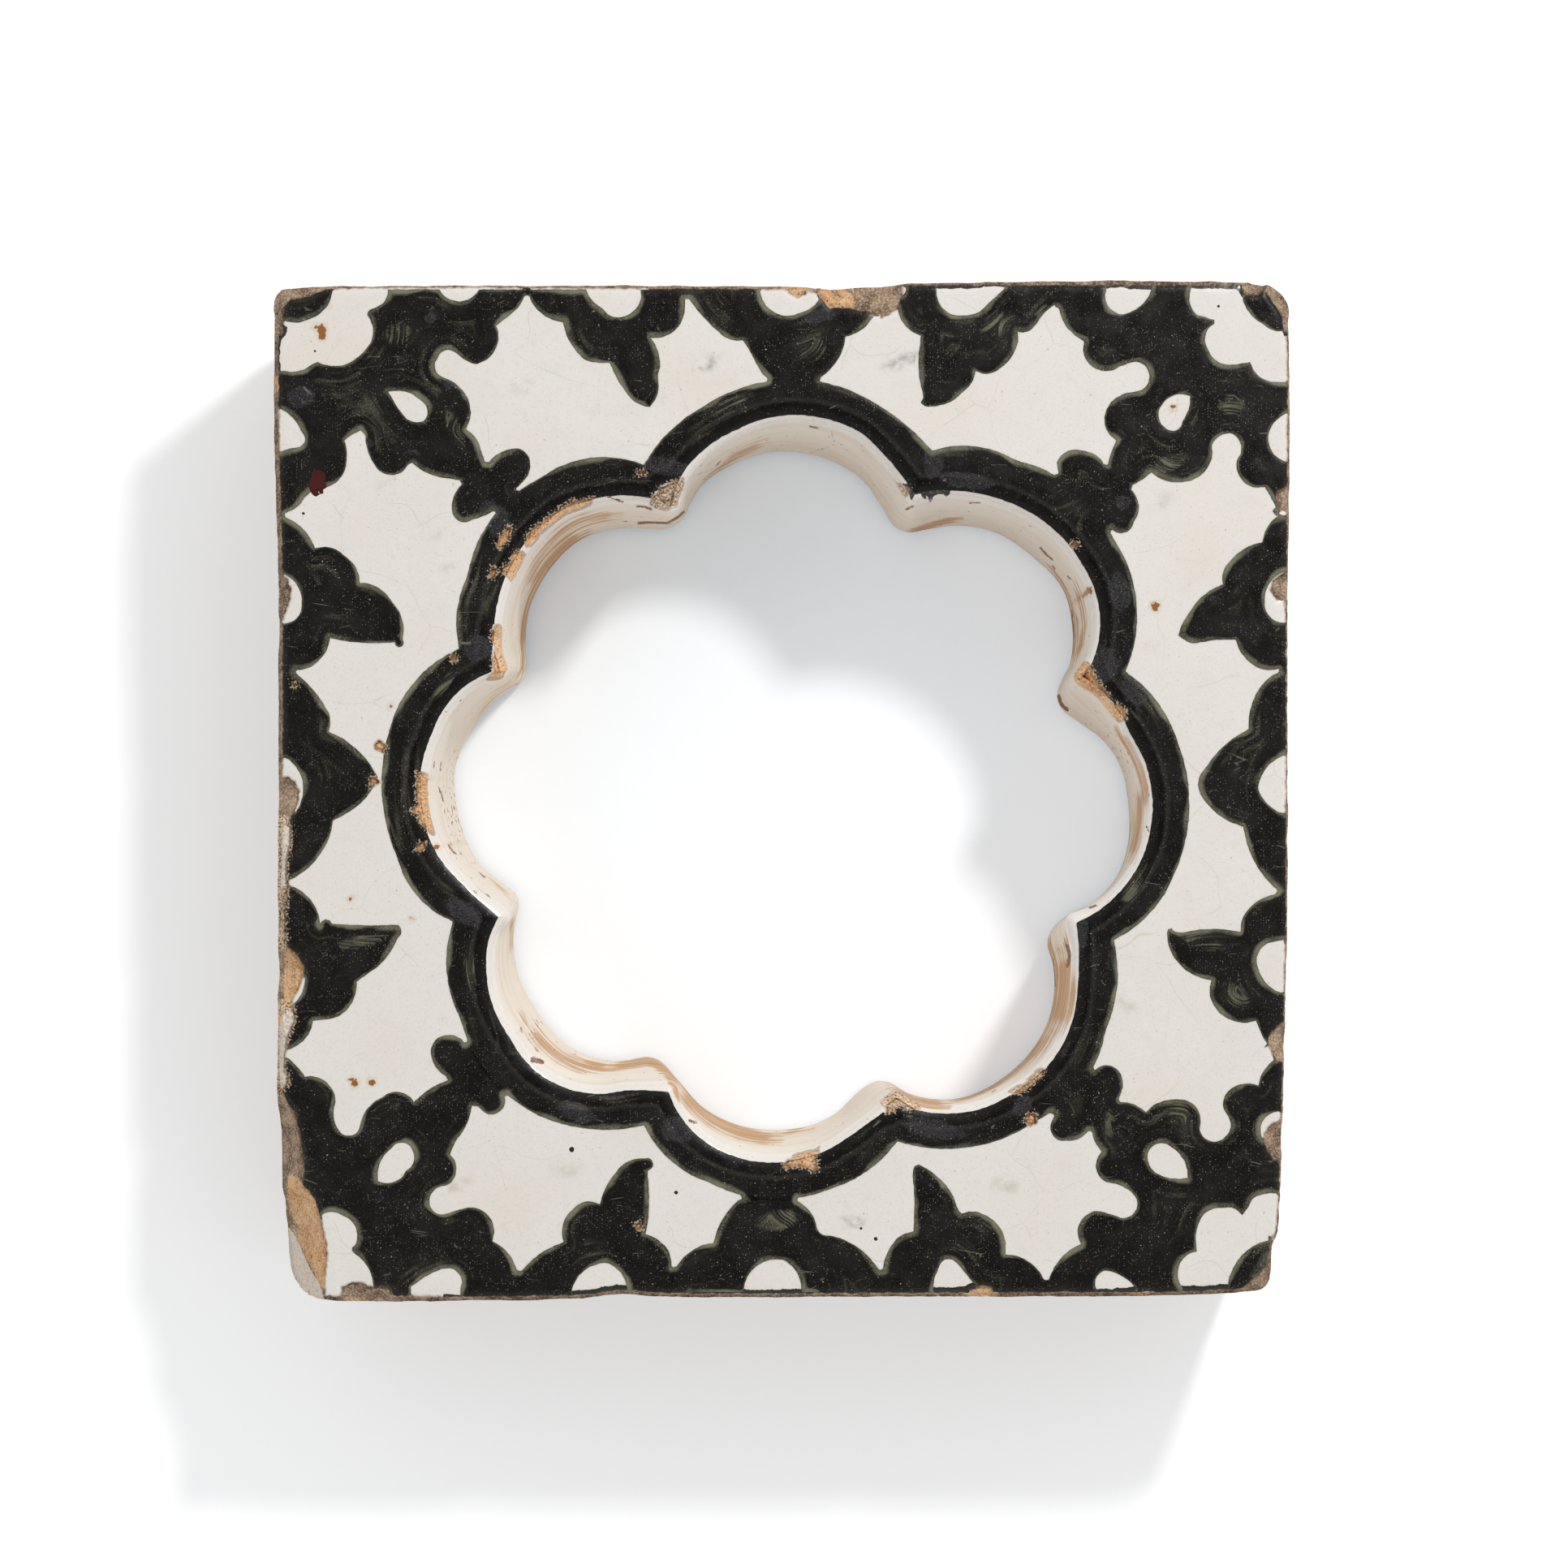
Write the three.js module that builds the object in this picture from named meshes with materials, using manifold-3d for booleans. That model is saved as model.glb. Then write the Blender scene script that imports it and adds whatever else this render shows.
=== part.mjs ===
// Square pierced tile of tin-glazed earthenware: a thick clay block with an eight-lobed
// opening, a white glaze coat on its face and down the opening's wall, and a dark
// brush-painted ornament of a band, knots, flowers and leaves.
// Lengths are in millimetres. The painted face looks along +Z, the base lies at z = 0
// and the origin is the middle of the base.
import * as THREE from 'three';
import { mergeVertices } from 'three/addons/utils/BufferGeometryUtils.js';
import Module from 'manifold-3d';

const wasm = await Module();
wasm.setup();

// Driving dimensions
const faceWidth = 200; // left edge to right edge
const faceHeight = 200; // lower edge to upper edge
const tileThickness = 50; // base to the top of the white glaze
const glazeThickness = 0.8;
const paintThickness = 0.25;
const rimRadius = 2; // rounding of the glaze over the opening's rim
const liningStop = 2; // bare clay between the base and the glaze on the wall
const liningClearance = 0.3; // between the clay wall and the glaze on it
const strokeGap = 0.3; // between painted motifs that meet
const baseChamfer = 0.6; // round the outside of the base
const arrisDrop = 1.5; // how far the worn upper arris falls
const wornLeft = 1.7; // how far in each upper arris is worn
const wornRight = 0.6;
const wornTop = 0.7;
const wornBottom = 1.4;

// How finely curves are cut
const curveSagitta = 0.1;
const rimSteps = 3;
const cornerFan = 3;
const cornerTurn = THREE.MathUtils.degToRad(30);
const cutMargin = 1; // how far a cutting solid stands out of what it cuts
const samePlace = 1e-6; // how near the end of an outline lies to its start

// Heights of the coats
const clayTop = tileThickness - glazeThickness;
const paintTop = tileThickness + paintThickness;

// Outlines are drawn on a full-size cartoon of the face. The first pair is the start.
// A pair [x, y] is a straight stroke to that point, and [through x, through y, x, y] is
// an arc through the first point to the second. Every outline closes on its start.
const tileCartoon = [
  [-98.9, 99.2], [-100.2, 97.6, -100.6, 93.5], [-100.6, 78], [-100.2, 58], [-99.8, 46],
  [-99.8, -40], [-99.9, -62], [-99.7, -86], [-99.2, -94.5],
  [-97.7, -97.6, -95, -99.7], [-91, -100.5], [-60, -100.7], [-40, -100.3], [-31, -99.4],
  [-24, -99.9], [40, -99.9], [82, -99.6], [93.7, -98.8], [96.6, -97.6, 97.3, -95],
  [97.5, -90], [98.6, -87], [99.2, -78], [99.6, -64], [100, -49], [100.6, -22],
  [100.6, 36], [100.9, 55], [100.9, 88], [100.7, 92.5], [99.6, 98.1, 95.6, 100.3],
  [25, 100.3], [9.5, 99.3], [5, 99.6], [-94.3, 99.6],
];

// The opening at the level of the face, lobe by lobe between its eight cusps
const openingCartoon = [
  [-22.3, 57.2],
  [-33.5, 58.4, -43.5, 55.7], [-51, 48.7, -55.5, 40], [-57, 31.5, -56.6, 24],
  [-65, 18.6, -69.3, 11.3], [-71.6, 0, -67.5, -13.5], [-62, -19.5, -56, -24.9],
  [-57.8, -29, -58.4, -33.5], [-57.8, -40, -53.5, -49.2], [-46.5, -56.8, -35, -59.8],
  [-29, -59.1, -22.3, -59.5],
  [-18.2, -66.4, -11, -71.5], [0, -73.4, 12.3, -69.2], [18.5, -64.8, 23, -61.5],
  [34.5, -63.7, 45.3, -60.3], [53.5, -53.8, 58.2, -44.7], [59.2, -36, 58.8, -26],
  [66.5, -20.8, 71.3, -14.3], [73.9, -3.5, 69.7, 11], [65.5, 18.2, 60.6, 22.8],
  [63.4, 34.5, 60.3, 44.3], [54, 52, 45.1, 57.2], [36, 59.4, 26.6, 59],
  [21.9, 65.1, 16.2, 70.7], [4.4, 74.4, -7.9, 71.9], [-17.3, 65.5, -22.3, 57.2],
];

// The outer edge of the dark band round the opening
const bandCartoon = [
  [-27.1, 64.5],
  [-36, 66, -47.6, 61.9], [-57.5, 53.5, -62, 42.7], [-64.2, 34, -63.7, 28.2],
  [-71.3, 23, -76, 16.3], [-79, 1, -75.7, -13.7], [-71, -21.7, -64.9, -25.7],
  [-66.2, -34.5, -63.4, -45], [-57.5, -56.5, -47.3, -64.2], [-36, -66.8, -27, -65.9],
  [-23, -71.7, -14.3, -77.2], [-2, -80.5, 11.3, -78], [19, -73.6, 23.2, -69.1],
  [36.5, -70.4, 50.7, -65.1], [59, -58.8, 64.6, -47], [66.9, -36.5, 66.1, -29.4],
  [73, -24.3, 78, -16.7], [81.1, -2.5, 78.3, 11], [74, 18.6, 68.5, 23.7],
  [70.7, 36, 66, 50], [58.5, 59.6, 46.8, 65.4], [37, 68.2, 30.1, 67.3],
  [23, 73.8, 14.1, 79.1], [2, 81.3, -15.3, 76], [-22.2, 70.8, -27.1, 64.5],
];

// Two round lobes where the band meets each corner spray
const knotCartoons = {
  painted_knot_top_left: [
    [-62.3, 61.3], [-64.6, 58.6, -65.1, 55.7], [-63.9, 53.6, -60.9, 53.7], [-57.6, 55],
    [-51.3, 61], [-49.8, 63.2, -49.6, 64.8], [-50.6, 67, -53.4, 67.6],
    [-56.3, 66.5, -58.3, 64.2],
  ],
  painted_knot_top_right: [
    [64.8, 63.1], [62.9, 66.1, 60, 67.3], [56.2, 66.7, 54.8, 65], [55.3, 62.6, 56.7, 60.5],
    [65.5, 52.2], [67.6, 51, 70, 53], [71, 56.6, 69, 60.1],
  ],
  painted_knot_bottom_left: [
    [-65, -56.8], [-67.9, -55, -69.3, -51.9], [-68.4, -49.2, -65.8, -48.2],
    [-63.8, -48.6, -62.5, -49.8], [-56.2, -57.9], [-54.9, -59.8, -54.7, -61.8],
    [-56.6, -63.7, -59.3, -62.8], [-61, -61.2],
  ],
  painted_knot_bottom_right: [
    [61.7, -65.8], [60, -68.1, 57, -69], [53.9, -67.7, 54, -64.7], [54.6, -63.5],
    [62.3, -55.3], [64.8, -54.1, 67.2, -55.4], [67.9, -58.2, 66.4, -61.4],
  ],
};

// Each corner spray is a flower with a teardrop hole and a leaf along both edges
const sprayCartoons = {
  painted_spray_top_left: {
    outline: [
      [-77.8, 103], [-77.8, 99.5], [-78.3, 97, -80.1, 95.6], [-81.3, 95.1],
      [-81.9, 94.5, -81.6, 93.6], [-80.8, 90.5, -82.2, 87.3], [-84.2, 85.4, -87, 84.1],
      [-90.7, 84.3], [-91.8, 84.8], [-92.8, 84.3], [-95.5, 83, -98.5, 83], [-103, 83],
      [-103, 75.6], [-99.2, 75.6], [-96.3, 73.4, -94.9, 71], [-94.3, 69.2, -95.2, 68.1],
      [-97.2, 67.7, -99, 67.1], [-103, 67.1], [-103, 54.6], [-98.8, 54.8],
      [-95.8, 56.2, -94.3, 58], [-92.5, 59.4, -90, 60.1], [-87.3, 61.8, -86.1, 65],
      [-86, 67.2, -86.5, 69.3], [-85.2, 70.3], [-83.2, 71.3], [-82.4, 70.4, -82.2, 69],
      [-81.5, 66.4, -79.8, 63.6], [-77.3, 62.5, -73.9, 64.5], [-73, 64.9],
      [-68.5, 62.3, -64.7, 61.7], [-62.3, 61.3], [-58.3, 64.2],
      [-59.4, 67.3, -60.4, 69.7], [-62.3, 71.6], [-61.4, 75, -62.4, 78.3],
      [-64.3, 80.4, -67, 81.8], [-68.5, 83.5, -68, 85.6], [-66.6, 87.1, -64.6, 86.8],
      [-62.9, 85.5, -60.6, 84.5], [-57.9, 85.6, -56.2, 88.2], [-55.9, 90.3, -56.4, 92],
      [-54, 93.9, -52.4, 95.2], [-51, 97.2, -50.5, 99], [-50.5, 103], [-59.6, 103],
      [-59.6, 99.5], [-63.2, 96.8, -67.9, 99.5], [-67.9, 103],
    ],
    teardrop: [
      [-77.8, 79], [-73.8, 78.8, -71.2, 77.2], [-70, 75.2, -70.8, 73.1],
      [-72.8, 73, -74.9, 74.5], [-76.6, 76.8, -77.8, 79],
    ],
  },
  painted_spray_top_right: {
    outline: [
      [81.5, 103], [81.5, 99.5], [81.2, 96.6, 82.7, 94.1], [84.3, 93.6], [86, 93.1],
      [86.1, 92.4], [84.2, 90, 84.7, 87.4], [86.2, 85.2, 88.7, 84.3], [91.1, 84.4],
      [93.1, 84.8], [94.8, 82.1, 97.5, 80.9], [103, 80.9], [103, 74.7], [100.4, 74.7],
      [98.2, 73.2, 96.8, 70.4], [97.2, 67.7, 100.3, 65.1], [103, 65.1], [103, 55],
      [98.9, 55], [97.5, 57.8, 96.1, 60.1], [93.8, 60.1], [91.1, 62.1, 90.6, 65.4],
      [91.3, 68.4, 89.7, 70.6], [87.4, 70.4, 85.6, 68.4], [85.7, 66.8],
      [84.4, 63.5, 81.3, 61.4], [77.4, 61.1, 73.6, 62.9], [71.6, 61.5, 69, 60.1],
      [64.8, 63.1], [65.4, 66.2, 66.6, 69.3], [64.3, 73.2, 66.4, 77.6],
      [68.2, 78.5, 70.8, 79], [73.2, 81.8, 70.5, 84.9], [68, 84.2, 65.5, 83.1],
      [61.7, 84.1, 60.3, 88.9], [57.2, 91.2, 55.7, 93.7], [55.3, 95.2, 54.9, 96.2],
      [54.7, 99], [54.7, 103], [64.7, 103], [64.7, 99.4], [65.2, 95.6, 67.6, 94.2],
      [70.4, 95.2, 73.8, 99.7], [73.8, 103],
    ],
    teardrop: [
      [81.3, 78.1], [77.9, 78.2, 75.9, 76.6], [75, 74.2, 76.4, 71.7],
      [77.7, 71.2, 79.8, 73.2], [81, 75.6, 81.3, 78.1],
    ],
  },
  painted_spray_bottom_left: {
    outline: [
      [-103, -52.5], [-97.9, -52.6], [-96, -54.2, -94.3, -56.4],
      [-90.3, -57.3, -88.3, -61], [-88.6, -64, -87.5, -67], [-85.6, -68.1, -83.3, -66.1],
      [-81.8, -62.6, -79, -60.5], [-75.6, -59.4, -72.7, -61.4], [-69.9, -59, -65, -56.8],
      [-61, -61.2], [-61.9, -65, -64.5, -69.3], [-65.5, -71.7],
      [-64.3, -75.4, -66.2, -77.9], [-69, -79.2, -69.6, -80.9],
      [-68.8, -82.9, -66.4, -83.5], [-64.2, -82.8, -61.7, -82.2],
      [-57.9, -83.9, -57.1, -88.9], [-54.2, -91.1, -52.2, -95.2], [-52.2, -103],
      [-63.4, -103], [-63.4, -98.3], [-64, -95, -66.7, -94.3], [-69.8, -95.6, -73.3, -97.9],
      [-73.3, -103], [-80.7, -103], [-80.7, -97.8], [-81.8, -94, -84.5, -91.2],
      [-85, -90.5, -84.4, -89.7], [-84.2, -86.2, -86.9, -83.7], [-89, -83.1, -91.2, -83.8],
      [-103, -84],
    ],
    teardrop: [
      [-79.8, -77], [-79.3, -73.3, -77, -70.4], [-75, -69.4, -73.2, -70.4],
      [-72.6, -72.7, -74.2, -75], [-76.8, -77.2, -79.8, -77],
    ],
  },
  painted_spray_bottom_right: {
    outline: [
      [103, -52.9], [98.2, -52.9], [96, -55, 94.8, -58.1], [91.6, -57.8, 89, -59],
      [87.8, -61.2, 88.5, -63.7], [89.1, -67, 86.3, -69.2], [83.6, -67.9, 83.3, -65.5],
      [82.5, -62.5, 79.3, -60.9], [75.8, -61.2, 72.5, -63.4], [69.6, -61.7, 66.4, -61.4],
      [61.7, -65.8], [62.2, -68.6, 63.7, -71.2], [62.6, -74, 64.6, -77.2],
      [68.4, -78.3, 70.5, -80.2], [70.4, -83, 67.7, -84.3], [65, -83.4, 62.3, -82.9],
      [59.4, -85.3, 59.6, -89.4], [55.6, -92.3, 53, -97.4], [53, -103], [63, -103],
      [63, -98.7], [62.9, -95.6, 65.2, -94.7], [67.8, -95.8, 70.4, -98], [70.4, -103],
      [79.8, -103], [79.8, -98.1], [78.8, -94.9, 81.3, -91.2], [82.6, -90.9],
      [82.3, -88.5, 83, -85.2], [85, -82.8, 87.7, -82.3], [90.2, -82.5, 91.6, -83.7],
      [92.6, -82.4, 93.7, -80.5], [95.8, -79.6, 99, -79.5], [103, -79.5], [103, -70.5],
      [99.5, -70.5], [95.2, -66.8, 99.8, -63.3], [103, -63.3],
    ],
    teardrop: [
      [80.8, -76.4], [80.3, -73.4, 77.7, -70.3], [75.2, -69.5, 73, -71.2],
      [73.1, -73.6, 75.2, -75.8], [77.7, -76.5, 80.8, -76.4],
    ],
  },
};

// A leaf, a flower and a leaf along each edge, each with a white half-moon at its foot
const edgeCartoons = {
  painted_leaf_top_1: [
    [-50.2, 103], [-50.2, 99], [-47.9, 94.9, -43.1, 92.7], [-41.8, 88.9, -38.6, 85.2],
    [-36.3, 84.7, -33.8, 84.6], [-32.3, 81.4, -30.2, 78.3], [-28.2, 76.6, -25.8, 75.9],
    [-24.5, 78, -24.3, 82], [-24.3, 86.9, -25.9, 89.7], [-21.4, 90.7, -19.5, 93.1],
    [-18.9, 96, -19.3, 99], [-19.3, 103], [-27.8, 103], [-27.8, 99.5],
    [-28.4, 95.6, -31, 93.8], [-33.6, 93.9, -35.4, 95.4], [-37.6, 97.3, -38.8, 99.6],
    [-38.8, 103],
  ],
  painted_flower_top: [
    [-18.7, 103], [-18.7, 98.4], [-15.6, 94.1, -11.9, 90.5], [-9.8, 89.3, -7.4, 89.1],
    [-5.6, 86.3, -4.3, 83.8], [-3.2, 82.2, -1.4, 80.9], [0, 78.5], [6, 78.5], [6.9, 81.1],
    [10.9, 84.5, 12.9, 89.8], [16.8, 91.7, 18.8, 94.2], [21, 98], [21.5, 103], [8.6, 103],
    [8.6, 99.5], [7, 96.3, 4, 94.6], [1.5, 93.9, -1.2, 94.6], [-3.3, 96.6, -4.1, 99.5],
    [-4.1, 103],
  ],
  painted_leaf_top_2: [
    [24.9, 103], [24.9, 98.8], [23.9, 97.2, 23.2, 95.6], [24.2, 92.9, 26.4, 90.6],
    [27.9, 90], [27.4, 85.4, 28.3, 77.9], [27.9, 76.8], [28.6, 76.1, 29.8, 76],
    [33.4, 76.8, 36.2, 78.9], [38, 80.8, 38.7, 83], [41.4, 82.5, 43.4, 83.5],
    [46.2, 86.4, 47.1, 90.7], [49.2, 90.9, 50.6, 92.2], [52.2, 94.4, 54.4, 96.3],
    [54.3, 99], [54.3, 103], [44.5, 103], [44.5, 99.4], [41.7, 96.8, 38.9, 94.4],
    [34.2, 94.1], [32, 95.7, 31, 99.5], [31, 103],
  ],
  painted_leaf_left_1: [
    [-103, 54.2], [-98.7, 54.3], [-95.2, 52.3, -92.3, 48], [-89, 48.1, -86.7, 46.7],
    [-84.3, 44.3, -83.4, 41.2], [-79.6, 40.1, -77, 37.5], [-75, 33.9, -74.9, 30],
    [-75.5, 28.5, -76.5, 29.4], [-82, 29.3, -89.3, 30.3], [-90.7, 26.7, -92.7, 24.8],
    [-94.4, 24.1, -96.5, 24.1], [-103, 24.1], [-103, 33.1], [-98.5, 33.1],
    [-95.5, 34.7, -94.9, 37], [-95.6, 40.3, -98.6, 43], [-103, 43],
  ],
  painted_flower_left: [
    [-103, 23.6], [-96.3, 23.5], [-92.8, 20.2, -90.2, 16.6], [-89.3, 14.5, -89.5, 11.8],
    [-84.4, 8.6, -79.9, 2.8], [-81.4, -0.3, -83.7, -2.8], [-86, -4.3, -88.7, -5.9],
    [-90.3, -10.9, -97.6, -17.7], [-103, -17.7], [-103, -5.6], [-97.8, -5.6],
    [-94.6, 1, -99.3, 7.2], [-103, 7.2],
  ],
  painted_leaf_left_2: [
    [-103, -18.3], [-97.6, -18.4], [-92.9, -21.8, -91.2, -26.5],
    [-89.6, -25.4, -88.9, -26.2], [-81, -26.5], [-75.8, -26.4],
    [-75.2, -27.3, -75.9, -29], [-78, -32.7, -81.2, -35.6], [-84, -37.6],
    [-84.7, -41.2, -87.3, -44.2], [-89.8, -45, -92.7, -45.3], [-93.6, -48, -97.6, -51],
    [-103, -51], [-103, -43.5], [-99, -43.5], [-94.3, -36.5, -99, -30.5], [-103, -30.5],
  ],
  painted_leaf_right_1: [
    [103, 54.6], [99, 54.5], [96.5, 52, 95.6, 49.2], [91, 47.2, 88.7, 44.9],
    [87.7, 42.9, 87.8, 40.9], [83.7, 38.5, 81.2, 35.4], [79.7, 33, 79, 30.8],
    [80.8, 29.6, 83.7, 29.5], [86.3, 29.9, 90.3, 30], [91.9, 26.7, 94.4, 24.6],
    [96.8, 24, 99.3, 24.4], [103, 24.4], [103, 33.3], [100, 33.3], [96.9, 34.6, 96, 37.4],
    [97.2, 41.3, 100.4, 43.6], [103, 43.6],
  ],
  painted_flower_right: [
    [103, 23.8], [99.7, 23.8], [96.9, 22.4, 94.4, 19.4], [93.1, 15.8, 92.9, 12.3],
    [88.1, 9.1, 84.3, 4.7], [82.9, 1.2, 84.3, -2], [87.3, -4.9, 91.8, -7],
    [93.6, -13, 98.7, -19.7], [103, -19.7], [103, -4.3], [99.3, -4.3],
    [96.3, -2.2, 94.8, 0.5], [96.1, 4.2, 100.2, 7.3], [103, 7.3],
  ],
  painted_leaf_right_2: [
    [103, -20.2], [98.8, -20.2], [94, -22.2, 92, -24.4], [91.4, -26, 91.3, -27.8],
    [85.5, -27.2, 79.3, -27.9], [78.1, -27.6], [77.2, -27.1, 76.7, -28],
    [77.2, -31.1, 79, -33.9], [81.8, -36.2, 85.5, -37.3], [85.2, -40.3, 86.7, -43.3],
    [90, -45.4, 94.3, -45.3], [95.4, -47.9, 98.2, -52.2], [103, -52.2], [103, -40],
    [100, -40], [96.6, -38.2, 94.9, -35.4], [94.9, -31.6, 97.7, -29.7], [100, -29.3],
    [103, -29.3],
  ],
  painted_leaf_bottom_1: [
    [-51.8, -103], [-51.8, -95.3], [-48.2, -91.8, -43, -89], [-43.1, -85.6, -41, -82.5],
    [-38.4, -81, -35.8, -81.6], [-34.6, -78.2, -32.7, -75.3], [-29.9, -73, -27, -72.5],
    [-25.3, -73.4, -26.3, -75], [-26.1, -80, -26.2, -84.4], [-26.8, -87.5],
    [-24, -88.8, -22.3, -90.6], [-21.7, -92.7, -21.5, -94.9], [-21.5, -103], [-30.4, -103],
    [-30.4, -98.2], [-31.6, -95.1, -34.2, -93.2], [-38.4, -94.3, -41.3, -98.2],
    [-41.3, -103],
  ],
  painted_flower_bottom: [
    [-21.1, -103], [-21.1, -94.9], [-18.4, -91.4, -16.3, -90.1],
    [-14.8, -89.5, -13.3, -89.3], [-11.8, -85.2, -9.6, -82], [-8, -80.7, -5, -80.2],
    [-4, -78], [1.5, -78], [1.2, -80.3], [4.9, -82, 7, -85.2], [7.4, -86.5, 8.3, -87.5],
    [14.2, -89.4, 20, -95.4], [20, -103], [4.2, -103], [4.2, -97.9],
    [3.2, -94.8, 0.5, -92.5], [-4.2, -93.4, -7.3, -98.2], [-7.3, -103],
  ],
  painted_leaf_bottom_2: [
    [20.4, -103], [20.4, -95.4], [20.7, -92.6, 22, -89.8], [23.7, -87.9, 26.4, -86.9],
    [26.6, -81, 26.3, -75], [26.9, -73.9, 28.3, -74.1], [32.6, -77.6, 35.2, -82.5],
    [35.9, -83.4], [38.4, -83, 40.7, -83.8], [43.7, -86.5, 44.6, -91.5],
    [48.9, -92.7, 52.6, -97.4], [52.6, -103], [39.3, -103], [39.3, -98.2],
    [37.3, -96, 34.9, -93.1], [33, -92.4, 31.4, -94.2], [30.4, -97, 30.2, -99.2],
    [30.2, -103],
  ],
  painted_corner_top_left: [
    [-88.7, 103], [-88.7, 99.5], [-90.8, 94.8, -93.6, 93.2], [-96, 92.6, -98.5, 93],
    [-103, 93], [-103, 103],
  ],
  painted_corner_top_right: [
    [91.6, 103], [91.6, 98], [92.7, 95, 95.8, 92.2], [97.7, 91.1, 99.6, 90.9],
    [103, 90.9], [103, 103],
  ],
  painted_corner_bottom_right: [
    [103, -88.7], [97, -88.7], [92.4, -90.8, 89.8, -94.2], [88.9, -96.4, 88.8, -98.2],
    [88.8, -103], [103, -103],
  ],
};

// Places where the ware has broken away: the broken edge on the face, closed outside the
// clay, how deep the break reaches and which way and how far it slopes out on its way down
const chipCartoons = [
  { edge: [[-105, -58.2], [-98.9, -58.5], [-97.3, -61.7], [-96, -64.3], [-95.2, -68],
    [-94.4, -74.5], [-94.6, -77.7], [-92.3, -80.7], [-91, -85], [-89.9, -90],
    [-90.2, -97], [-90.5, -105], [-105, -105]], depth: 13, slope: [-9, -2] },
  { edge: [[-105, -29], [-99.9, -29.3], [-96.8, -31.3], [-94.5, -34.5], [-94.4, -36.5],
    [-95.5, -38.7], [-97.5, -43], [-99.9, -44.7], [-105, -45]], depth: 5, slope: [-7, 0] },
  { edge: [[-105, 2.8], [-99.6, 2.8], [-97.8, 3], [-96.2, 1.8], [-95.4, 0], [-95.6, -2],
    [-96.8, -5], [-97.6, -7], [-99.9, -7.6], [-105, -7.6]], depth: 4, slope: [-6, 0] },
  { edge: [[-105, 43], [-99.7, 43], [-97.5, 42], [-97, 39.5], [-97.4, 37], [-98.5, 34],
    [-105, 32.5]], depth: 2.5, slope: [-4, 0] },
  { edge: [[5.2, 105], [5.4, 100], [7.9, 97.4], [9.8, 95.3], [13.8, 95.3], [18.7, 94.2],
    [20, 93.5], [21.4, 94.1], [23.1, 95.3], [24.1, 97.5], [24.9, 105]],
  depth: 5, slope: [0, 8] },
  { edge: [[0.6, 105], [0.8, 99.6], [1.6, 98.3], [3.5, 97.6], [5.1, 98.3], [5.2, 105]],
    depth: 2, slope: [0, 3] },
  { edge: [[91.2, 105], [91.4, 99.6], [92.2, 98], [94.8, 98], [95.8, 99], [98, 96],
    [99.4, 93.7], [99.8, 91], [105, 91], [105, 105]], depth: 5, slope: [3, 3] },
  { edge: [[-88.7, 105], [-88.7, 99.4], [-91, 98.8], [-93.5, 97.7], [-97.3, 97.1],
    [-98.4, 95.5], [-98.6, 90], [-105, 90], [-105, 105]], depth: 4, slope: [-3, 3] },
  { edge: [[105, 60.2], [100.2, 60.2], [98.6, 59.6], [98, 57.5], [98.8, 55.2],
    [105, 54.6]], depth: 3, slope: [4, 0] },
  { edge: [[105, 43.4], [100.3, 43.4], [99, 42.7], [97.6, 41.6], [96.9, 39.7],
    [98.4, 37.6], [105, 37]], depth: 2.5, slope: [5, 0] },
  { edge: [[105, -45.3], [99.6, -45.5], [98.3, -46.8], [96.8, -48], [96.7, -50],
    [97.4, -51.9], [98.6, -53.3], [105, -54]], depth: 4, slope: [5, 0] },
  { edge: [[105, -64.3], [99.3, -64.6], [97, -66], [96, -67.5], [95.7, -69],
    [96.8, -71.2], [98, -72.8], [105, -75]], depth: 4, slope: [5, 0] },
  { edge: [[105, -88], [97.1, -88], [97, -90.5], [96.3, -93.7], [93.2, -96.8],
    [91.8, -97.9], [89, -98.4], [88.8, -105], [105, -105]], depth: 6, slope: [4, -4] },
  { edge: [[36.4, -105], [36.8, -99.4], [37.8, -98.2], [40, -97.5], [42, -98],
    [43.2, -105]], depth: 2, slope: [0, -4] },
  { edge: [[-87.9, -105], [-87, -97.9], [-85, -96.9], [-83, -97.1], [-81, -98],
    [-79, -97.5], [-77.4, -98.1], [-74, -105]], depth: 3, slope: [0, -5] },
  { edge: [[-26.4, 57], [-25.3, 58.6], [-23.3, 60.6], [-21.5, 61.2], [-20.2, 61.1],
    [-16, 58], [-18, 50], [-26.4, 53]], depth: 3.5, slope: [4, -7] },
  { edge: [[61.1, 25.4], [62.2, 23.8], [62.7, 21.3], [64.6, 19.5], [65.3, 17],
    [67, 16.8], [68.1, 15.5], [68.4, 13.7], [60, 8], [52, 18], [56, 28]],
  depth: 4.5, slope: [-9, -5] },
  { edge: [[28, -62.7], [25.5, -62.9], [24, -62.2], [22.4, -62.7], [21, -63.6],
    [19.7, -63.3], [17, -58], [24, -56], [30, -59]], depth: 3, slope: [-1, 5] },
  { edge: [[-57.9, 22.6], [-57.3, 24], [-57.2, 28], [-57.1, 33], [-51, 34], [-50, 20]],
    depth: 2.5, slope: [4, 0] },
];

// Point of the cartoon placed on the face
function placeOnFace(x, y) {
  return new THREE.Vector2((x - drawnCentre.x) * faceWidth / drawnSize.x,
    (y - drawnCentre.y) * faceHeight / drawnSize.y);
}

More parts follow.
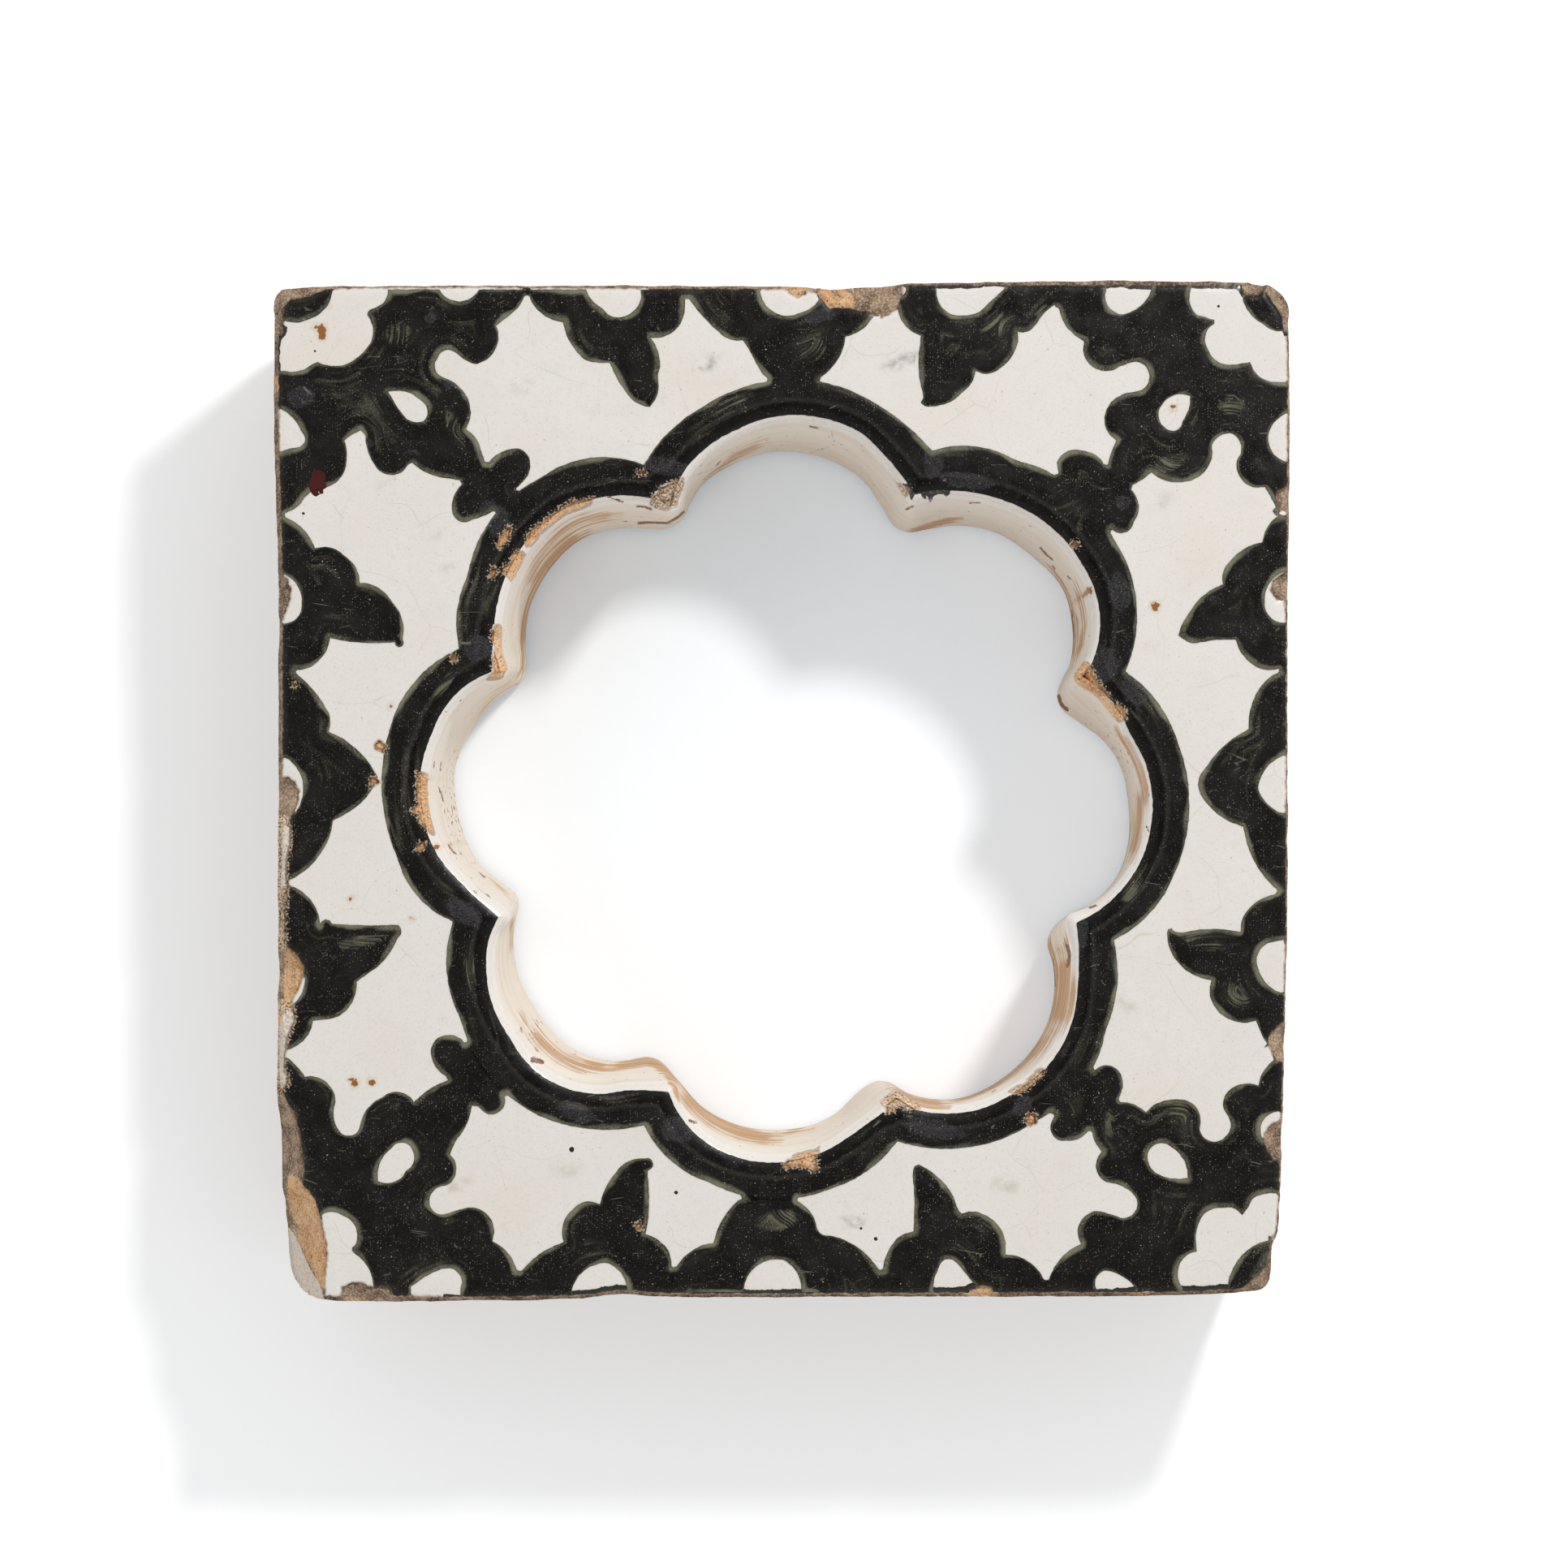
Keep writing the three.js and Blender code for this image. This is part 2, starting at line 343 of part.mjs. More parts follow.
// Points of an arc from one point through a second to a third, without the first
function arcPoints(from, through, to) {
  const b = through.clone().sub(from);
  const c = to.clone().sub(from);
  const turn = b.cross(c);
  const centre = new THREE.Vector2(c.y * b.lengthSq() - b.y * c.lengthSq(),
    b.x * c.lengthSq() - c.x * b.lengthSq()).divideScalar(2 * turn);
  const radius = centre.length();
  const start = Math.atan2(-centre.y, -centre.x);
  let sweep = Math.atan2(c.y - centre.y, c.x - centre.x) - start;
  if (turn > 0 && sweep < 0) sweep += 2 * Math.PI;
  if (turn < 0 && sweep > 0) sweep -= 2 * Math.PI;
  const step = 2 * Math.acos(1 - curveSagitta / Math.max(radius, 2 * curveSagitta));
  const pieces = Math.max(2, Math.ceil(Math.abs(sweep) / step));
  const curve = new THREE.EllipseCurve(from.x + centre.x, from.y + centre.y, radius, radius,
    start, start + sweep, turn < 0);
  return curve.getPoints(pieces).slice(1);
}

// A cartoon outline as a counterclockwise loop of points, set by the given placing
function trace(cartoon, place) {
  const points = [place(...cartoon[0])];
  for (const stroke of cartoon.slice(1)) {
    const last = points[points.length - 1];
    const end = place(...stroke.slice(-2));
    if (stroke.length === 4) points.push(...arcPoints(last, place(stroke[0], stroke[1]), end));
    else points.push(end);
  }
  if (points[0].distanceTo(points[points.length - 1]) < samePlace) points.pop();
  return THREE.ShapeUtils.isClockWise(points) ? points.reverse() : points;
}

// The part of the plane that the tile's outline takes up on the cartoon
const drawnBox = new THREE.Box2().setFromPoints(
  trace(tileCartoon, (x, y) => new THREE.Vector2(x, y)));
const drawnSize = drawnBox.getSize(new THREE.Vector2());
const drawnCentre = drawnBox.getCenter(new THREE.Vector2());

// Left-hand normal of the edge between two points, which points into a loop's inside
function edgeNormal(from, to) {
  return new THREE.Vector2(from.y - to.y, to.x - from.x).normalize();
}

// Mitred inward normal at each point of a loop, scaled so that every edge moves by one
function mitres(loop) {
  return loop.map((point, i) => {
    const before = edgeNormal(loop.at(i - 1), point);
    const after = edgeNormal(point, loop[(i + 1) % loop.length]);
    return before.add(after).divideScalar(1 + before.dot(after));
  });
}

// The loop widened outwards by a distance
function grow(loop, distance) {
  const normals = mitres(loop);
  return loop.map((point, i) => point.clone().addScaledVector(normals[i], -distance));
}

// Points of a loop with the normals along which its rim runs into the opening. A cusp
// that stands into the opening gets a fan of normals, so that the wall below is rounded.
function rimFan(loop) {
  const rim = [];
  const smooth = mitres(loop);
  loop.forEach((point, i) => {
    const before = edgeNormal(loop.at(i - 1), point);
    const after = edgeNormal(point, loop[(i + 1) % loop.length]);
    const turn = Math.atan2(before.cross(after), before.dot(after));
    if (turn > -cornerTurn) {
      rim.push({ point, normal: smooth[i] });
      return;
    }
    for (let k = 0; k <= cornerFan; k++) {
      const normal = before.clone().rotateAround(new THREE.Vector2(), turn * k / cornerFan);
      rim.push({ point, normal });
    }
  });
  return rim;
}

// The rim's points moved into the opening by a distance
function rimLoop(rim, distance) {
  return rim.map(({ point, normal }) => point.clone().addScaledVector(normal, distance));
}

// A solid from a closed mesh
function toSolid(geometry) {
  geometry.deleteAttribute('normal');
  geometry.deleteAttribute('uv');
  const merged = mergeVertices(geometry);
  const corners = merged.index.array;
  const kept = [];
  for (let i = 0; i < corners.length; i += 3) {
    const [a, b, c] = corners.slice(i, i + 3);
    if (a !== b && b !== c && c !== a) kept.push(a, b, c);
  }
  return new wasm.Manifold(new wasm.Mesh({
    numProp: 3,
    vertProperties: new Float32Array(merged.attributes.position.array),
    triVerts: new Uint32Array(kept),
  }));
}

// A solid through loops of equally many points, each at its own height, from below
function loft(levels) {
  const count = levels[0].loop.length;
  const positions = levels.flatMap(({ loop, z }) => loop.flatMap((p) => [p.x, p.y, z]));
  const faces = [];
  for (let level = 1; level < levels.length; level++) {
    for (let i = 0; i < count; i++) {
      const a = (level - 1) * count + i;
      const b = (level - 1) * count + (i + 1) % count;
      faces.push(a, b, b + count, a, b + count, a + count);
    }
  }
  const top = (levels.length - 1) * count;
  for (const [a, b, c] of THREE.ShapeUtils.triangulateShape(levels[0].loop, [])) {
    faces.push(a, c, b);
  }
  for (const [a, b, c] of THREE.ShapeUtils.triangulateShape(levels.at(-1).loop, [])) {
    faces.push(top + a, top + b, top + c);
  }
  const geometry = new THREE.BufferGeometry();
  geometry.setAttribute('position', new THREE.Float32BufferAttribute(positions, 3));
  geometry.setIndex(faces);
  return toSolid(geometry);
}

// A loop, less its holes, extruded between two heights
function slab(loop, holes, bottom, top) {
  const shape = new THREE.Shape(loop);
  shape.holes = holes.map((hole) => new THREE.Path(hole));
  const geometry = new THREE.ExtrudeGeometry(shape, { depth: top - bottom, bevelEnabled: false });
  return toSolid(geometry.translate(0, 0, bottom));
}

// What fills the opening inside a wall and the rounding over its rim: the wall stands
// in by a radius from the rim's points, and the rounding ends at the given height
function openingPlug(radius, roundedTop, bottom, top) {
  const levels = [{ loop: rimLoop(openingRim, radius), z: bottom }];
  for (let k = 0; k <= rimSteps; k++) {
    const angle = k / rimSteps * Math.PI / 2;
    levels.push({
      loop: rimLoop(openingRim, radius * Math.cos(angle)),
      z: roundedTop - radius * (1 - Math.sin(angle)),
    });
  }
  levels.push({ loop: rimLoop(openingRim, 0), z: top });
  return loft(levels);
}

// A wedge of ware that has broken away
function chipSolid({ edge, depth, slope }) {
  const face = trace(edge, placeOnFace);
  const below = face.map((p) => p.clone().add(new THREE.Vector2(...slope)));
  return loft([
    { loop: below, z: tileThickness - depth },
    { loop: face, z: tileThickness },
    { loop: face, z: paintTop + cutMargin },
  ]);
}

// The tile's outline drawn in by the wear of its upper arris
function wornOutline() {
  const normals = mitres(tileOutline);
  return tileOutline.map((point, i) => {
    const normal = normals[i];
    const sideways = normal.x * (normal.x > 0 ? wornLeft : wornRight);
    const upwards = normal.y * (normal.y > 0 ? wornBottom : wornTop);
    return new THREE.Vector2(point.x + sideways, point.y + upwards);
  });
}

const tileOutline = trace(tileCartoon, placeOnFace);
const faceOutline = wornOutline();
const openingLoop = trace(openingCartoon, placeOnFace);
const openingRim = rimFan(openingLoop);
const chips = wasm.Manifold.union(chipCartoons.map(chipSolid));

function makeClayBody() {
  const bodyRim = rimRadius - glazeThickness - liningClearance;
  const block = loft([
    { loop: grow(tileOutline, -baseChamfer), z: 0 },
    { loop: tileOutline, z: baseChamfer },
    { loop: tileOutline, z: clayTop - arrisDrop },
    { loop: faceOutline, z: clayTop },
  ]);
  const hollow = openingPlug(bodyRim, clayTop, -cutMargin, paintTop);
  return block.subtract(hollow).subtract(chips);
}

function makeWhiteGlaze() {
  const face = slab(faceOutline, [], clayTop, tileThickness);
  const lining = openingPlug(rimRadius - glazeThickness, clayTop + liningClearance,
    liningStop, tileThickness);
  const hollow = openingPlug(rimRadius, tileThickness, liningStop - cutMargin,
    tileThickness + cutMargin);
  return face.add(lining).subtract(hollow).subtract(chips);
}

// Painted motifs lie on the flat of the glaze and keep clear of the motifs they meet
const paintable = slab(faceOutline, [], tileThickness - cutMargin, paintTop + cutMargin)
  .subtract(chips);

function paint(loop, holes) {
  return slab(loop, holes, tileThickness, paintTop).intersect(paintable);
}

function clearing(loop) {
  return slab(grow(loop, strokeGap), [], tileThickness - cutMargin, paintTop + cutMargin);
}

// The largest body of a cut solid, without any crumbs that a cut has left
function mainBody(solid) {
  const bodies = solid.decompose();
  return bodies.reduce((best, body) => (body.volume() > best.volume() ? body : best));
}

const group = new THREE.Group();
group.name = 'pierced_tile';

const clayLook = { color: 0xb98257, roughness: 0.92, metalness: 0 };
const glazeLook = { color: 0xe9e3d8, roughness: 0.22, metalness: 0 };
const paintLook = { color: 0x1e1d1b, roughness: 0.28, metalness: 0 };

function addNode(name, solid, look) {
  const { vertProperties, triVerts } = mainBody(solid).getMesh();
  const geometry = new THREE.BufferGeometry();
  geometry.setAttribute('position', new THREE.BufferAttribute(vertProperties, 3));
  geometry.setIndex(new THREE.BufferAttribute(triVerts, 1));
  geometry.computeVertexNormals();
  const mesh = new THREE.Mesh(geometry, new THREE.MeshStandardMaterial(look));
  mesh.name = name;
  group.add(mesh);
}

addNode('clay_body', makeClayBody(), clayLook);
addNode('white_glaze', makeWhiteGlaze(), glazeLook);

const bandLoop = trace(bandCartoon, placeOnFace);
const bandClearing = clearing(bandLoop);
addNode('painted_opening_band', paint(bandLoop, [openingLoop]), paintLook);

const knotLoops = Object.entries(knotCartoons).map(([name, cartoon]) => {
  const loop = trace(cartoon, placeOnFace);
  addNode(name, paint(loop, []).subtract(bandClearing), paintLook);
  return loop;
});
const knotClearings = wasm.Manifold.union(knotLoops.map(clearing));

for (const [name, { outline, teardrop }] of Object.entries(sprayCartoons)) {
  const spray = paint(trace(outline, placeOnFace), [trace(teardrop, placeOnFace)]);
  addNode(name, spray.subtract(knotClearings).subtract(bandClearing), paintLook);
}

for (const [name, cartoon] of Object.entries(edgeCartoons)) {
  addNode(name, paint(trace(cartoon, placeOnFace), []).subtract(bandClearing), paintLook);
}

export default group;
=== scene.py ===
"""Looks of the pierced tile: worn clay block, crazed white glaze and brushed dark ornament."""

import math

import bpy
import numpy as np
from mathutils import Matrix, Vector
from mathutils import noise as lumps
from mathutils.bvhtree import BVHTree
from mathutils.geometry import delaunay_2d_cdt
from mathutils.kdtree import KDTree


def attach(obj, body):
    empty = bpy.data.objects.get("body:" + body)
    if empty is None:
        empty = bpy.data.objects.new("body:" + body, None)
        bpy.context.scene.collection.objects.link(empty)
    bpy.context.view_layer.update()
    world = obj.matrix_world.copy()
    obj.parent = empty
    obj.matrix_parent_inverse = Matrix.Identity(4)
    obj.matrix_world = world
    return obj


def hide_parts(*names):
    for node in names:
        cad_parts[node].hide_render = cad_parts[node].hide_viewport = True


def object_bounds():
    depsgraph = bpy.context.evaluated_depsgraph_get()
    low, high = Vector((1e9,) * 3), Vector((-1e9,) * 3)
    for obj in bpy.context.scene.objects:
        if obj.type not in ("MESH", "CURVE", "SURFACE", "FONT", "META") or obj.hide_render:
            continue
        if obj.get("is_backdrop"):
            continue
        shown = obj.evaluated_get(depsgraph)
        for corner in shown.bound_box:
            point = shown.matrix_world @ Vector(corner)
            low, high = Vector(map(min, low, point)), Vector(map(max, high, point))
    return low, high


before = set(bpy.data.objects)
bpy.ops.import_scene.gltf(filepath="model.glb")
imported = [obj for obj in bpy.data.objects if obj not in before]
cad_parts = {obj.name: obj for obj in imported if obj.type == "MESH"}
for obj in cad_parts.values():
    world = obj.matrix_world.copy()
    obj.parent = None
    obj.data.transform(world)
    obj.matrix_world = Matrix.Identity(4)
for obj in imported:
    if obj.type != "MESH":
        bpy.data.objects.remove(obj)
cad_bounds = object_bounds()

MM = 0.001  # the script works in millimetres and Blender in metres

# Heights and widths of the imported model
FACE = 50.0
GLAZE = 0.8
LINING_FOOT = 2.0
WALL_INSET = 2.0  # from the opening's edge on the face to the glazed wall
BASE_CHAMFER = 0.6

# The rim rolls over from the flat face to the wall
ROLL_WIDTH = 4.5
ROLL_DROP = 0.8
ROLL_SLOPE = math.atan(2 * ROLL_DROP / ROLL_WIDTH)
ROLL_RADIUS = WALL_INSET / (1 - math.sin(ROLL_SLOPE))
WALL_TOP = FACE - ROLL_DROP - ROLL_RADIUS * math.cos(ROLL_SLOPE)
CLAY_WALL = 1.1  # from the glazed wall back to the clay one
CLAY_ROLL = 0.86  # from the glaze's roll down to the clay's
CLAY_GAP = 0.1  # between the glaze's underside and the clay

# Camera: straight down, its axis a little right of the tile's middle
PHOTO_WIDTH = 308.2  # of the face that the photograph spans
VIEW_DISTANCE = 646.0  # from the face
AXIS = np.array([11.3, -2.8])
PHOTO_MIDDLE = (0.65, 1.63)
SENSOR = 36.0

# The photograph's pixels, and the cartoon of the face that they were measured on
PIXEL = 0.1605
PIXEL_MIDDLE = (961.0, 975.0)
CARTOON_CENTRE = (0.15, -0.2)
CARTOON_SCALE = (200 / 201.5, 200 / 201.0)

# Points that fill the surfaces: reach from the middle, and their spacing in mm
FIELD_REACH = 101.0
GLAZE_GRID = 0.95
SPOT_GRID = 0.3
SPOT_REACH = 1.6  # from a spot's middle to the end of its finer points
PAINT_GRID = 0.62
CLAY_GRID = 3.0
BARE_CLAY_GRID = 0.42
CHIP_GRID = 0.38
CHIP_LAP = 0.5  # how far a chip's finer points reach past it
BACK_GRID = 2.2
OUTER_BAND = 84.0  # where the worn strip round the face begins
BARE_LAP = 0.6  # how far the bare clay's finer points reach under the glaze
BATCH = 4000  # points that are tested at once
ON_LINE = 2e-3  # a point this near to a line lies on it
NOWHERE = 99.0  # distance to a path that is out of reach
MARK_REACH = 2.0  # how far from a mark its depth is measured
FAR = -MARK_REACH  # depth in a mark away from it

# How far the points that fill a surface keep off its lines
CLEAR = 0.25
GLAZE_CLEAR = 0.35
ROLL_CLEAR = 4.1
CHIP_CLEAR = 0.2
BACK_CLEAR = 1.2

# Rows down the opening's wall, close together near the rim, and round the clay's sides
RIM_DEPTH = 8.0
RIM_ROW = 0.55
LINING_ROWS = 30
CLAY_WALL_ROWS = 12
SIDE_ROWS = 46
CHAMFER_START = 0.985  # share of the side's height
SHARP = 50  # degrees between faces that aren't shaded as one

# Light, with places in metres; painted shade: the floor glows less in the opening, least at its
# left
SOFTBOX_PLACE = (0.250, 0.355, 0.465)
SOFTBOX_SIZE = 0.075
SOFTBOX_STRENGTH = 4.8
SKY_STOPS = ((0.0, 1.0), (0.25, 0.84), (0.85, 0.82), (0.93, 0.15))
FLOOR_SIZE = 3.0
FLOOR_DROP = 0.0002  # keeps the floor clear of the underside
FLOOR_GLOW = 0.28
OPENING_SHADE_GLOW = (0.155, 0.295)

# Chips inside the face, along the opening and at the left edge: depth in mm, colour from
# grey-brown 0 to orange 1, and an outline in the photograph's pixels
CHIPS = [
    (1.1, 0.25, [(800, 622), (805, 612), (816, 600), (826, 595), (841, 589), (842, 600),
      (836, 612), (832, 622), (822, 626), (812, 628)]),
    (0.7, 0.75, [(732, 613), (720, 615), (704, 620), (686, 629), (668, 643), (656, 652),
      (649, 663), (648, 673), (654, 672), (664, 659), (680, 645), (700, 632), (722, 622)]),
    (1.0, 0.9, [(633, 680), (641, 679), (648, 684), (644, 695), (639, 704), (635, 712),
      (629, 716), (621, 706), (619, 700), (627, 692)]),
    (0.9, 0.7, [(606, 773), (613, 769), (619, 777), (625, 787), (624, 800), (625, 812),
      (625, 826), (617, 834), (608, 839), (599, 837), (607, 826), (608, 806)]),
    (0.5, 0.8, [(624, 649), (631, 650), (627, 662), (616, 675), (612, 673), (616, 662)]),
    (0.4, 0.5, [(605, 701), (610, 701), (608, 711), (603, 712)]),
    (0.5, 0.9, [(786, 581), (792, 579), (797, 583), (792, 587), (787, 585)]),
    (0.8, 0.1, [(1093, 588), (1104, 595), (1121, 602), (1117, 610), (1106, 611), (1099, 606),
      (1097, 596)]),
    (1.8, 0.8, [(1330, 815), (1338, 813), (1345, 824), (1351, 836), (1357, 845), (1365, 855),
      (1369, 868), (1380, 867), (1387, 876), (1388, 885), (1380, 889), (1370, 885), (1358, 879),
      (1346, 869), (1335, 859), (1323, 850), (1317, 845), (1319, 836), (1325, 826)]),
    (0.9, 0.75, [(513, 953), (520, 952), (528, 959), (525, 968), (529, 977), (527, 988),
      (530, 1000), (532, 1014), (532, 1028), (524, 1020), (517, 1012), (514, 1003), (507, 1002),
      (507, 997), (514, 992), (513, 975)]),
    (0.5, 0.8, [(516, 1037), (523, 1038), (525, 1043), (520, 1048), (513, 1047)]),
    (0.9, 0.7, [(964, 1438), (972, 1430), (981, 1424), (992, 1419), (1003, 1418), (1009, 1414),
      (1006, 1425), (1008, 1436), (1004, 1444), (997, 1440), (980, 1436)]),
    (1.0, 0.45, [(1084, 1356), (1091, 1346), (1100, 1343), (1112, 1348), (1123, 1354),
      (1134, 1366), (1118, 1365), (1108, 1361), (1101, 1367), (1094, 1371)]),
    (0.6, 0.55, [(1244, 1346), (1256, 1339), (1266, 1333), (1275, 1323), (1284, 1317),
      (1289, 1320), (1278, 1331), (1268, 1338), (1254, 1347)]),
    (0.5, 0.7, [(1263, 1378), (1269, 1371), (1276, 1373), (1277, 1382), (1270, 1386)]),
    (0.4, 0.9, [(463, 915), (468, 912), (474, 921), (472, 928), (465, 924), (460, 922)]),
    (0.4, 0.9, [(553, 811), (558, 807), (562, 811), (557, 815)]),
    (0.4, 0.9, [(359, 843), (363, 840), (367, 845), (362, 848)]),
    (0.5, 0.9, [(1321, 671), (1326, 668), (1330, 672), (1325, 675)]),
    (0.5, 0.9, [(782, 1508), (788, 1505), (791, 1511), (785, 1514)]),
    (0.4, 0.7, [(454, 958), (462, 957), (465, 964), (459, 970), (454, 965)]),
    (0.6, 0.1, [(330, 1006), (347, 1008), (355, 1018), (358, 1034), (355, 1052), (353, 1072),
      (355, 1092), (352, 1112), (350, 1132), (352, 1152), (350, 1166), (330, 1170)]),
    (0.6, 0.1, [(330, 1238), (361, 1240), (363, 1262), (357, 1268), (352, 1292), (350, 1302),
      (351, 1318), (356, 1328), (353, 1337), (346, 1344), (330, 1350)]),
]
CHIP_RISE = 0.40  # the broken clay stands this much above the glaze's underside
ROLL_STRIP = 1.2  # width of the roll that chips only bare
BARED_DROP = 0.42  # how far the bared strip sinks
BARED_FOOT = WALL_TOP - 1.5  # chips bare the wall down to here
FACE_FOOT = WALL_TOP + 0.5  # the face's marks reach down to here

# Fresh orange clay and pale remnants at the outer edge, in the photograph's pixels
ORANGE_PATCHES = [
    [(350, 1452), (366, 1456), (380, 1468), (392, 1496), (398, 1524), (399, 1570), (396, 1586),
     (378, 1566), (366, 1550), (352, 1530), (346, 1496)],
    [(352, 1166), (370, 1180), (370, 1210), (358, 1240), (350, 1236), (348, 1196)],
    [(964, 350), (998, 350), (996, 356), (988, 364), (979, 368), (970, 364)],
    [(1010, 358), (1050, 352), (1050, 382), (1030, 384), (1012, 372)],
    [(1190, 1584), (1212, 1580), (1230, 1590), (1230, 1600), (1190, 1600)],
    [(1390, 1588), (1404, 1584), (1414, 1590), (1414, 1600), (1390, 1600)],
    [(335, 462), (344, 464), (344, 480), (336, 482)],
    [(340, 1254), (346, 1254), (346, 1266), (340, 1266)],
]
PALE_PATCHES = [
    [(340, 1520), (350, 1528), (366, 1554), (378, 1570), (394, 1588), (398, 1606), (360, 1600),
     (338, 1570)],
    [(346, 1014), (356, 1018), (358, 1040), (352, 1092), (343, 1094)],
    [(352, 1242), (362, 1250), (360, 1272), (354, 1292), (352, 1345), (344, 1340), (340, 1300),
     (342, 1262)],
]
# How far down in mm the orange reaches: in the two deep breaks, which come first, and elsewhere
DEEP_PATCHES = 2
DEEP_ORANGE = 11.0
EDGE_ORANGE = 3.0
PALE_FOOT = 30.0  # the pale remnants reach down to here

# The wall's foot as the photograph shows it, from the left upper cusp down, and its cusps
FOOT_LINE = [
    (648, 825), (643, 840), (623, 852), (600, 872), (582, 898), (563, 938), (560, 970),
    (570, 1024), (590, 1064), (618, 1088), (635, 1102), (639, 1113), (636, 1128), (632, 1160),
    (640, 1205), (660, 1243), (700, 1287), (740, 1304), (770, 1306), (797, 1302), (812, 1306),
    (833, 1328), (865, 1363), (905, 1384), (950, 1391), (995, 1387), (1030, 1371), (1055, 1347),
    (1073, 1334), (1085, 1331), (1098, 1334), (1120, 1347), (1155, 1354), (1190, 1351),
    (1227, 1334), (1265, 1302), (1290, 1262), (1299, 1223), (1298, 1190), (1291, 1162),
    (1295, 1147), (1312, 1130), (1350, 1110), (1376, 1080), (1390, 1040), (1391, 997), (1383, 950),
    (1362, 915), (1330, 890), (1309, 874), (1303, 858), (1309, 838), (1319, 818), (1322, 775),
    (1310, 727), (1277, 690), (1230, 658), (1185, 648), (1145, 652), (1120, 656), (1103, 650),
    (1088, 628), (1065, 595), (1030, 571), (990, 559), (950, 558), (905, 572), (868, 595),
    (851, 620), (840, 641), (820, 652), (795, 652), (755, 653), (715, 666), (680, 698), (654, 744),
    (647, 785),
]
FOOT_CUSPS = [
    (648, 825), (639, 1113), (805, 1303), (1085, 1331), (1291, 1160), (1303, 858), (1113, 655),
    (834, 648),
]
CUSPS = [
    (608, 825), (612, 1130), (822, 1346), (1104, 1358), (1327, 1137), (1339, 833), (1127, 607),
    (822, 619),
]

# Tan streaks on the wall: strength, half width in pixels, and path as the photograph shows it
TAN_STREAKS = [
    (0.75, 8, [(652, 1262), (668, 1285), (690, 1303), (715, 1315), (752, 1315)]),
    (1.0, 5, [(752, 1313), (780, 1309), (797, 1306), (808, 1310), (820, 1320), (837, 1340)]),
    (1.0, 7, [(837, 1342), (852, 1360), (877, 1380), (910, 1395), (940, 1402), (957, 1402)]),
    (0.8, 3, [(958, 1397), (985, 1391), (1002, 1388)]),
    (0.6, 5, [(638, 1235), (645, 1255), (655, 1275)]),
    (0.9, 5, [(1096, 1338), (1110, 1347), (1125, 1355), (1145, 1359), (1168, 1360)]),
    (0.9, 4, [(1168, 1356), (1195, 1350), (1225, 1337), (1250, 1318), (1272, 1296), (1288, 1268)]),
    (1.0, 11, [(1308, 1178), (1312, 1200), (1313, 1222), (1309, 1245), (1300, 1265)]),
    (0.6, 6, [(1300, 1265), (1285, 1288), (1265, 1308)]),
    (0.9, 4, [(1290, 1148), (1292, 1165), (1297, 1185), (1301, 1210), (1299, 1240), (1290, 1265)]),
    (0.9, 4, [(1318, 1148), (1314, 1162), (1318, 1180)]),
    (1.0, 5, [(1378, 898), (1392, 918), (1405, 945), (1412, 970), (1410, 1000)]),
    (0.9, 5, [(1406, 970), (1405, 1000), (1402, 1030), (1394, 1060)]),
    (0.5, 2.5, [(1396, 1000), (1392, 1030), (1384, 1060), (1370, 1085)]),
    (1.0, 4, [(1302, 715), (1312, 740), (1320, 770), (1321, 800), (1318, 820)]),
    (0.8, 3, [(1325, 718), (1333, 745), (1337, 770), (1333, 795), (1325, 812)]),
    (0.6, 2.5, [(1290, 688), (1312, 725), (1327, 765), (1326, 800)]),
    (0.5, 3, [(1262, 690), (1285, 705), (1300, 722)]),
    (0.85, 11, [(715, 654), (692, 674), (676, 697), (665, 725), (655, 765), (650, 800)]),
    (0.65, 8, [(760, 634), (720, 640), (690, 658), (665, 692), (650, 730)]),
    (0.65, 5, [(945, 545), (905, 562), (880, 585), (862, 610), (850, 635)]),
    (0.8, 3, [(1118, 657), (1140, 650), (1165, 643), (1185, 640)]),
    (0.55, 2.5, [(1135, 640), (1155, 632), (1180, 630)]),
    (0.55, 2.5, [(575, 1085), (595, 1100), (612, 1112)]),
    (0.5, 2.5, [(600, 1080), (620, 1098), (632, 1112)]),
    (0.6, 3, [(630, 1125), (631, 1150), (628, 1180)]),
    (0.35, 6, [(640, 835), (610, 855), (585, 885)]),
    (0.6, 3, [(642, 795), (643, 825), (630, 844)]),
]
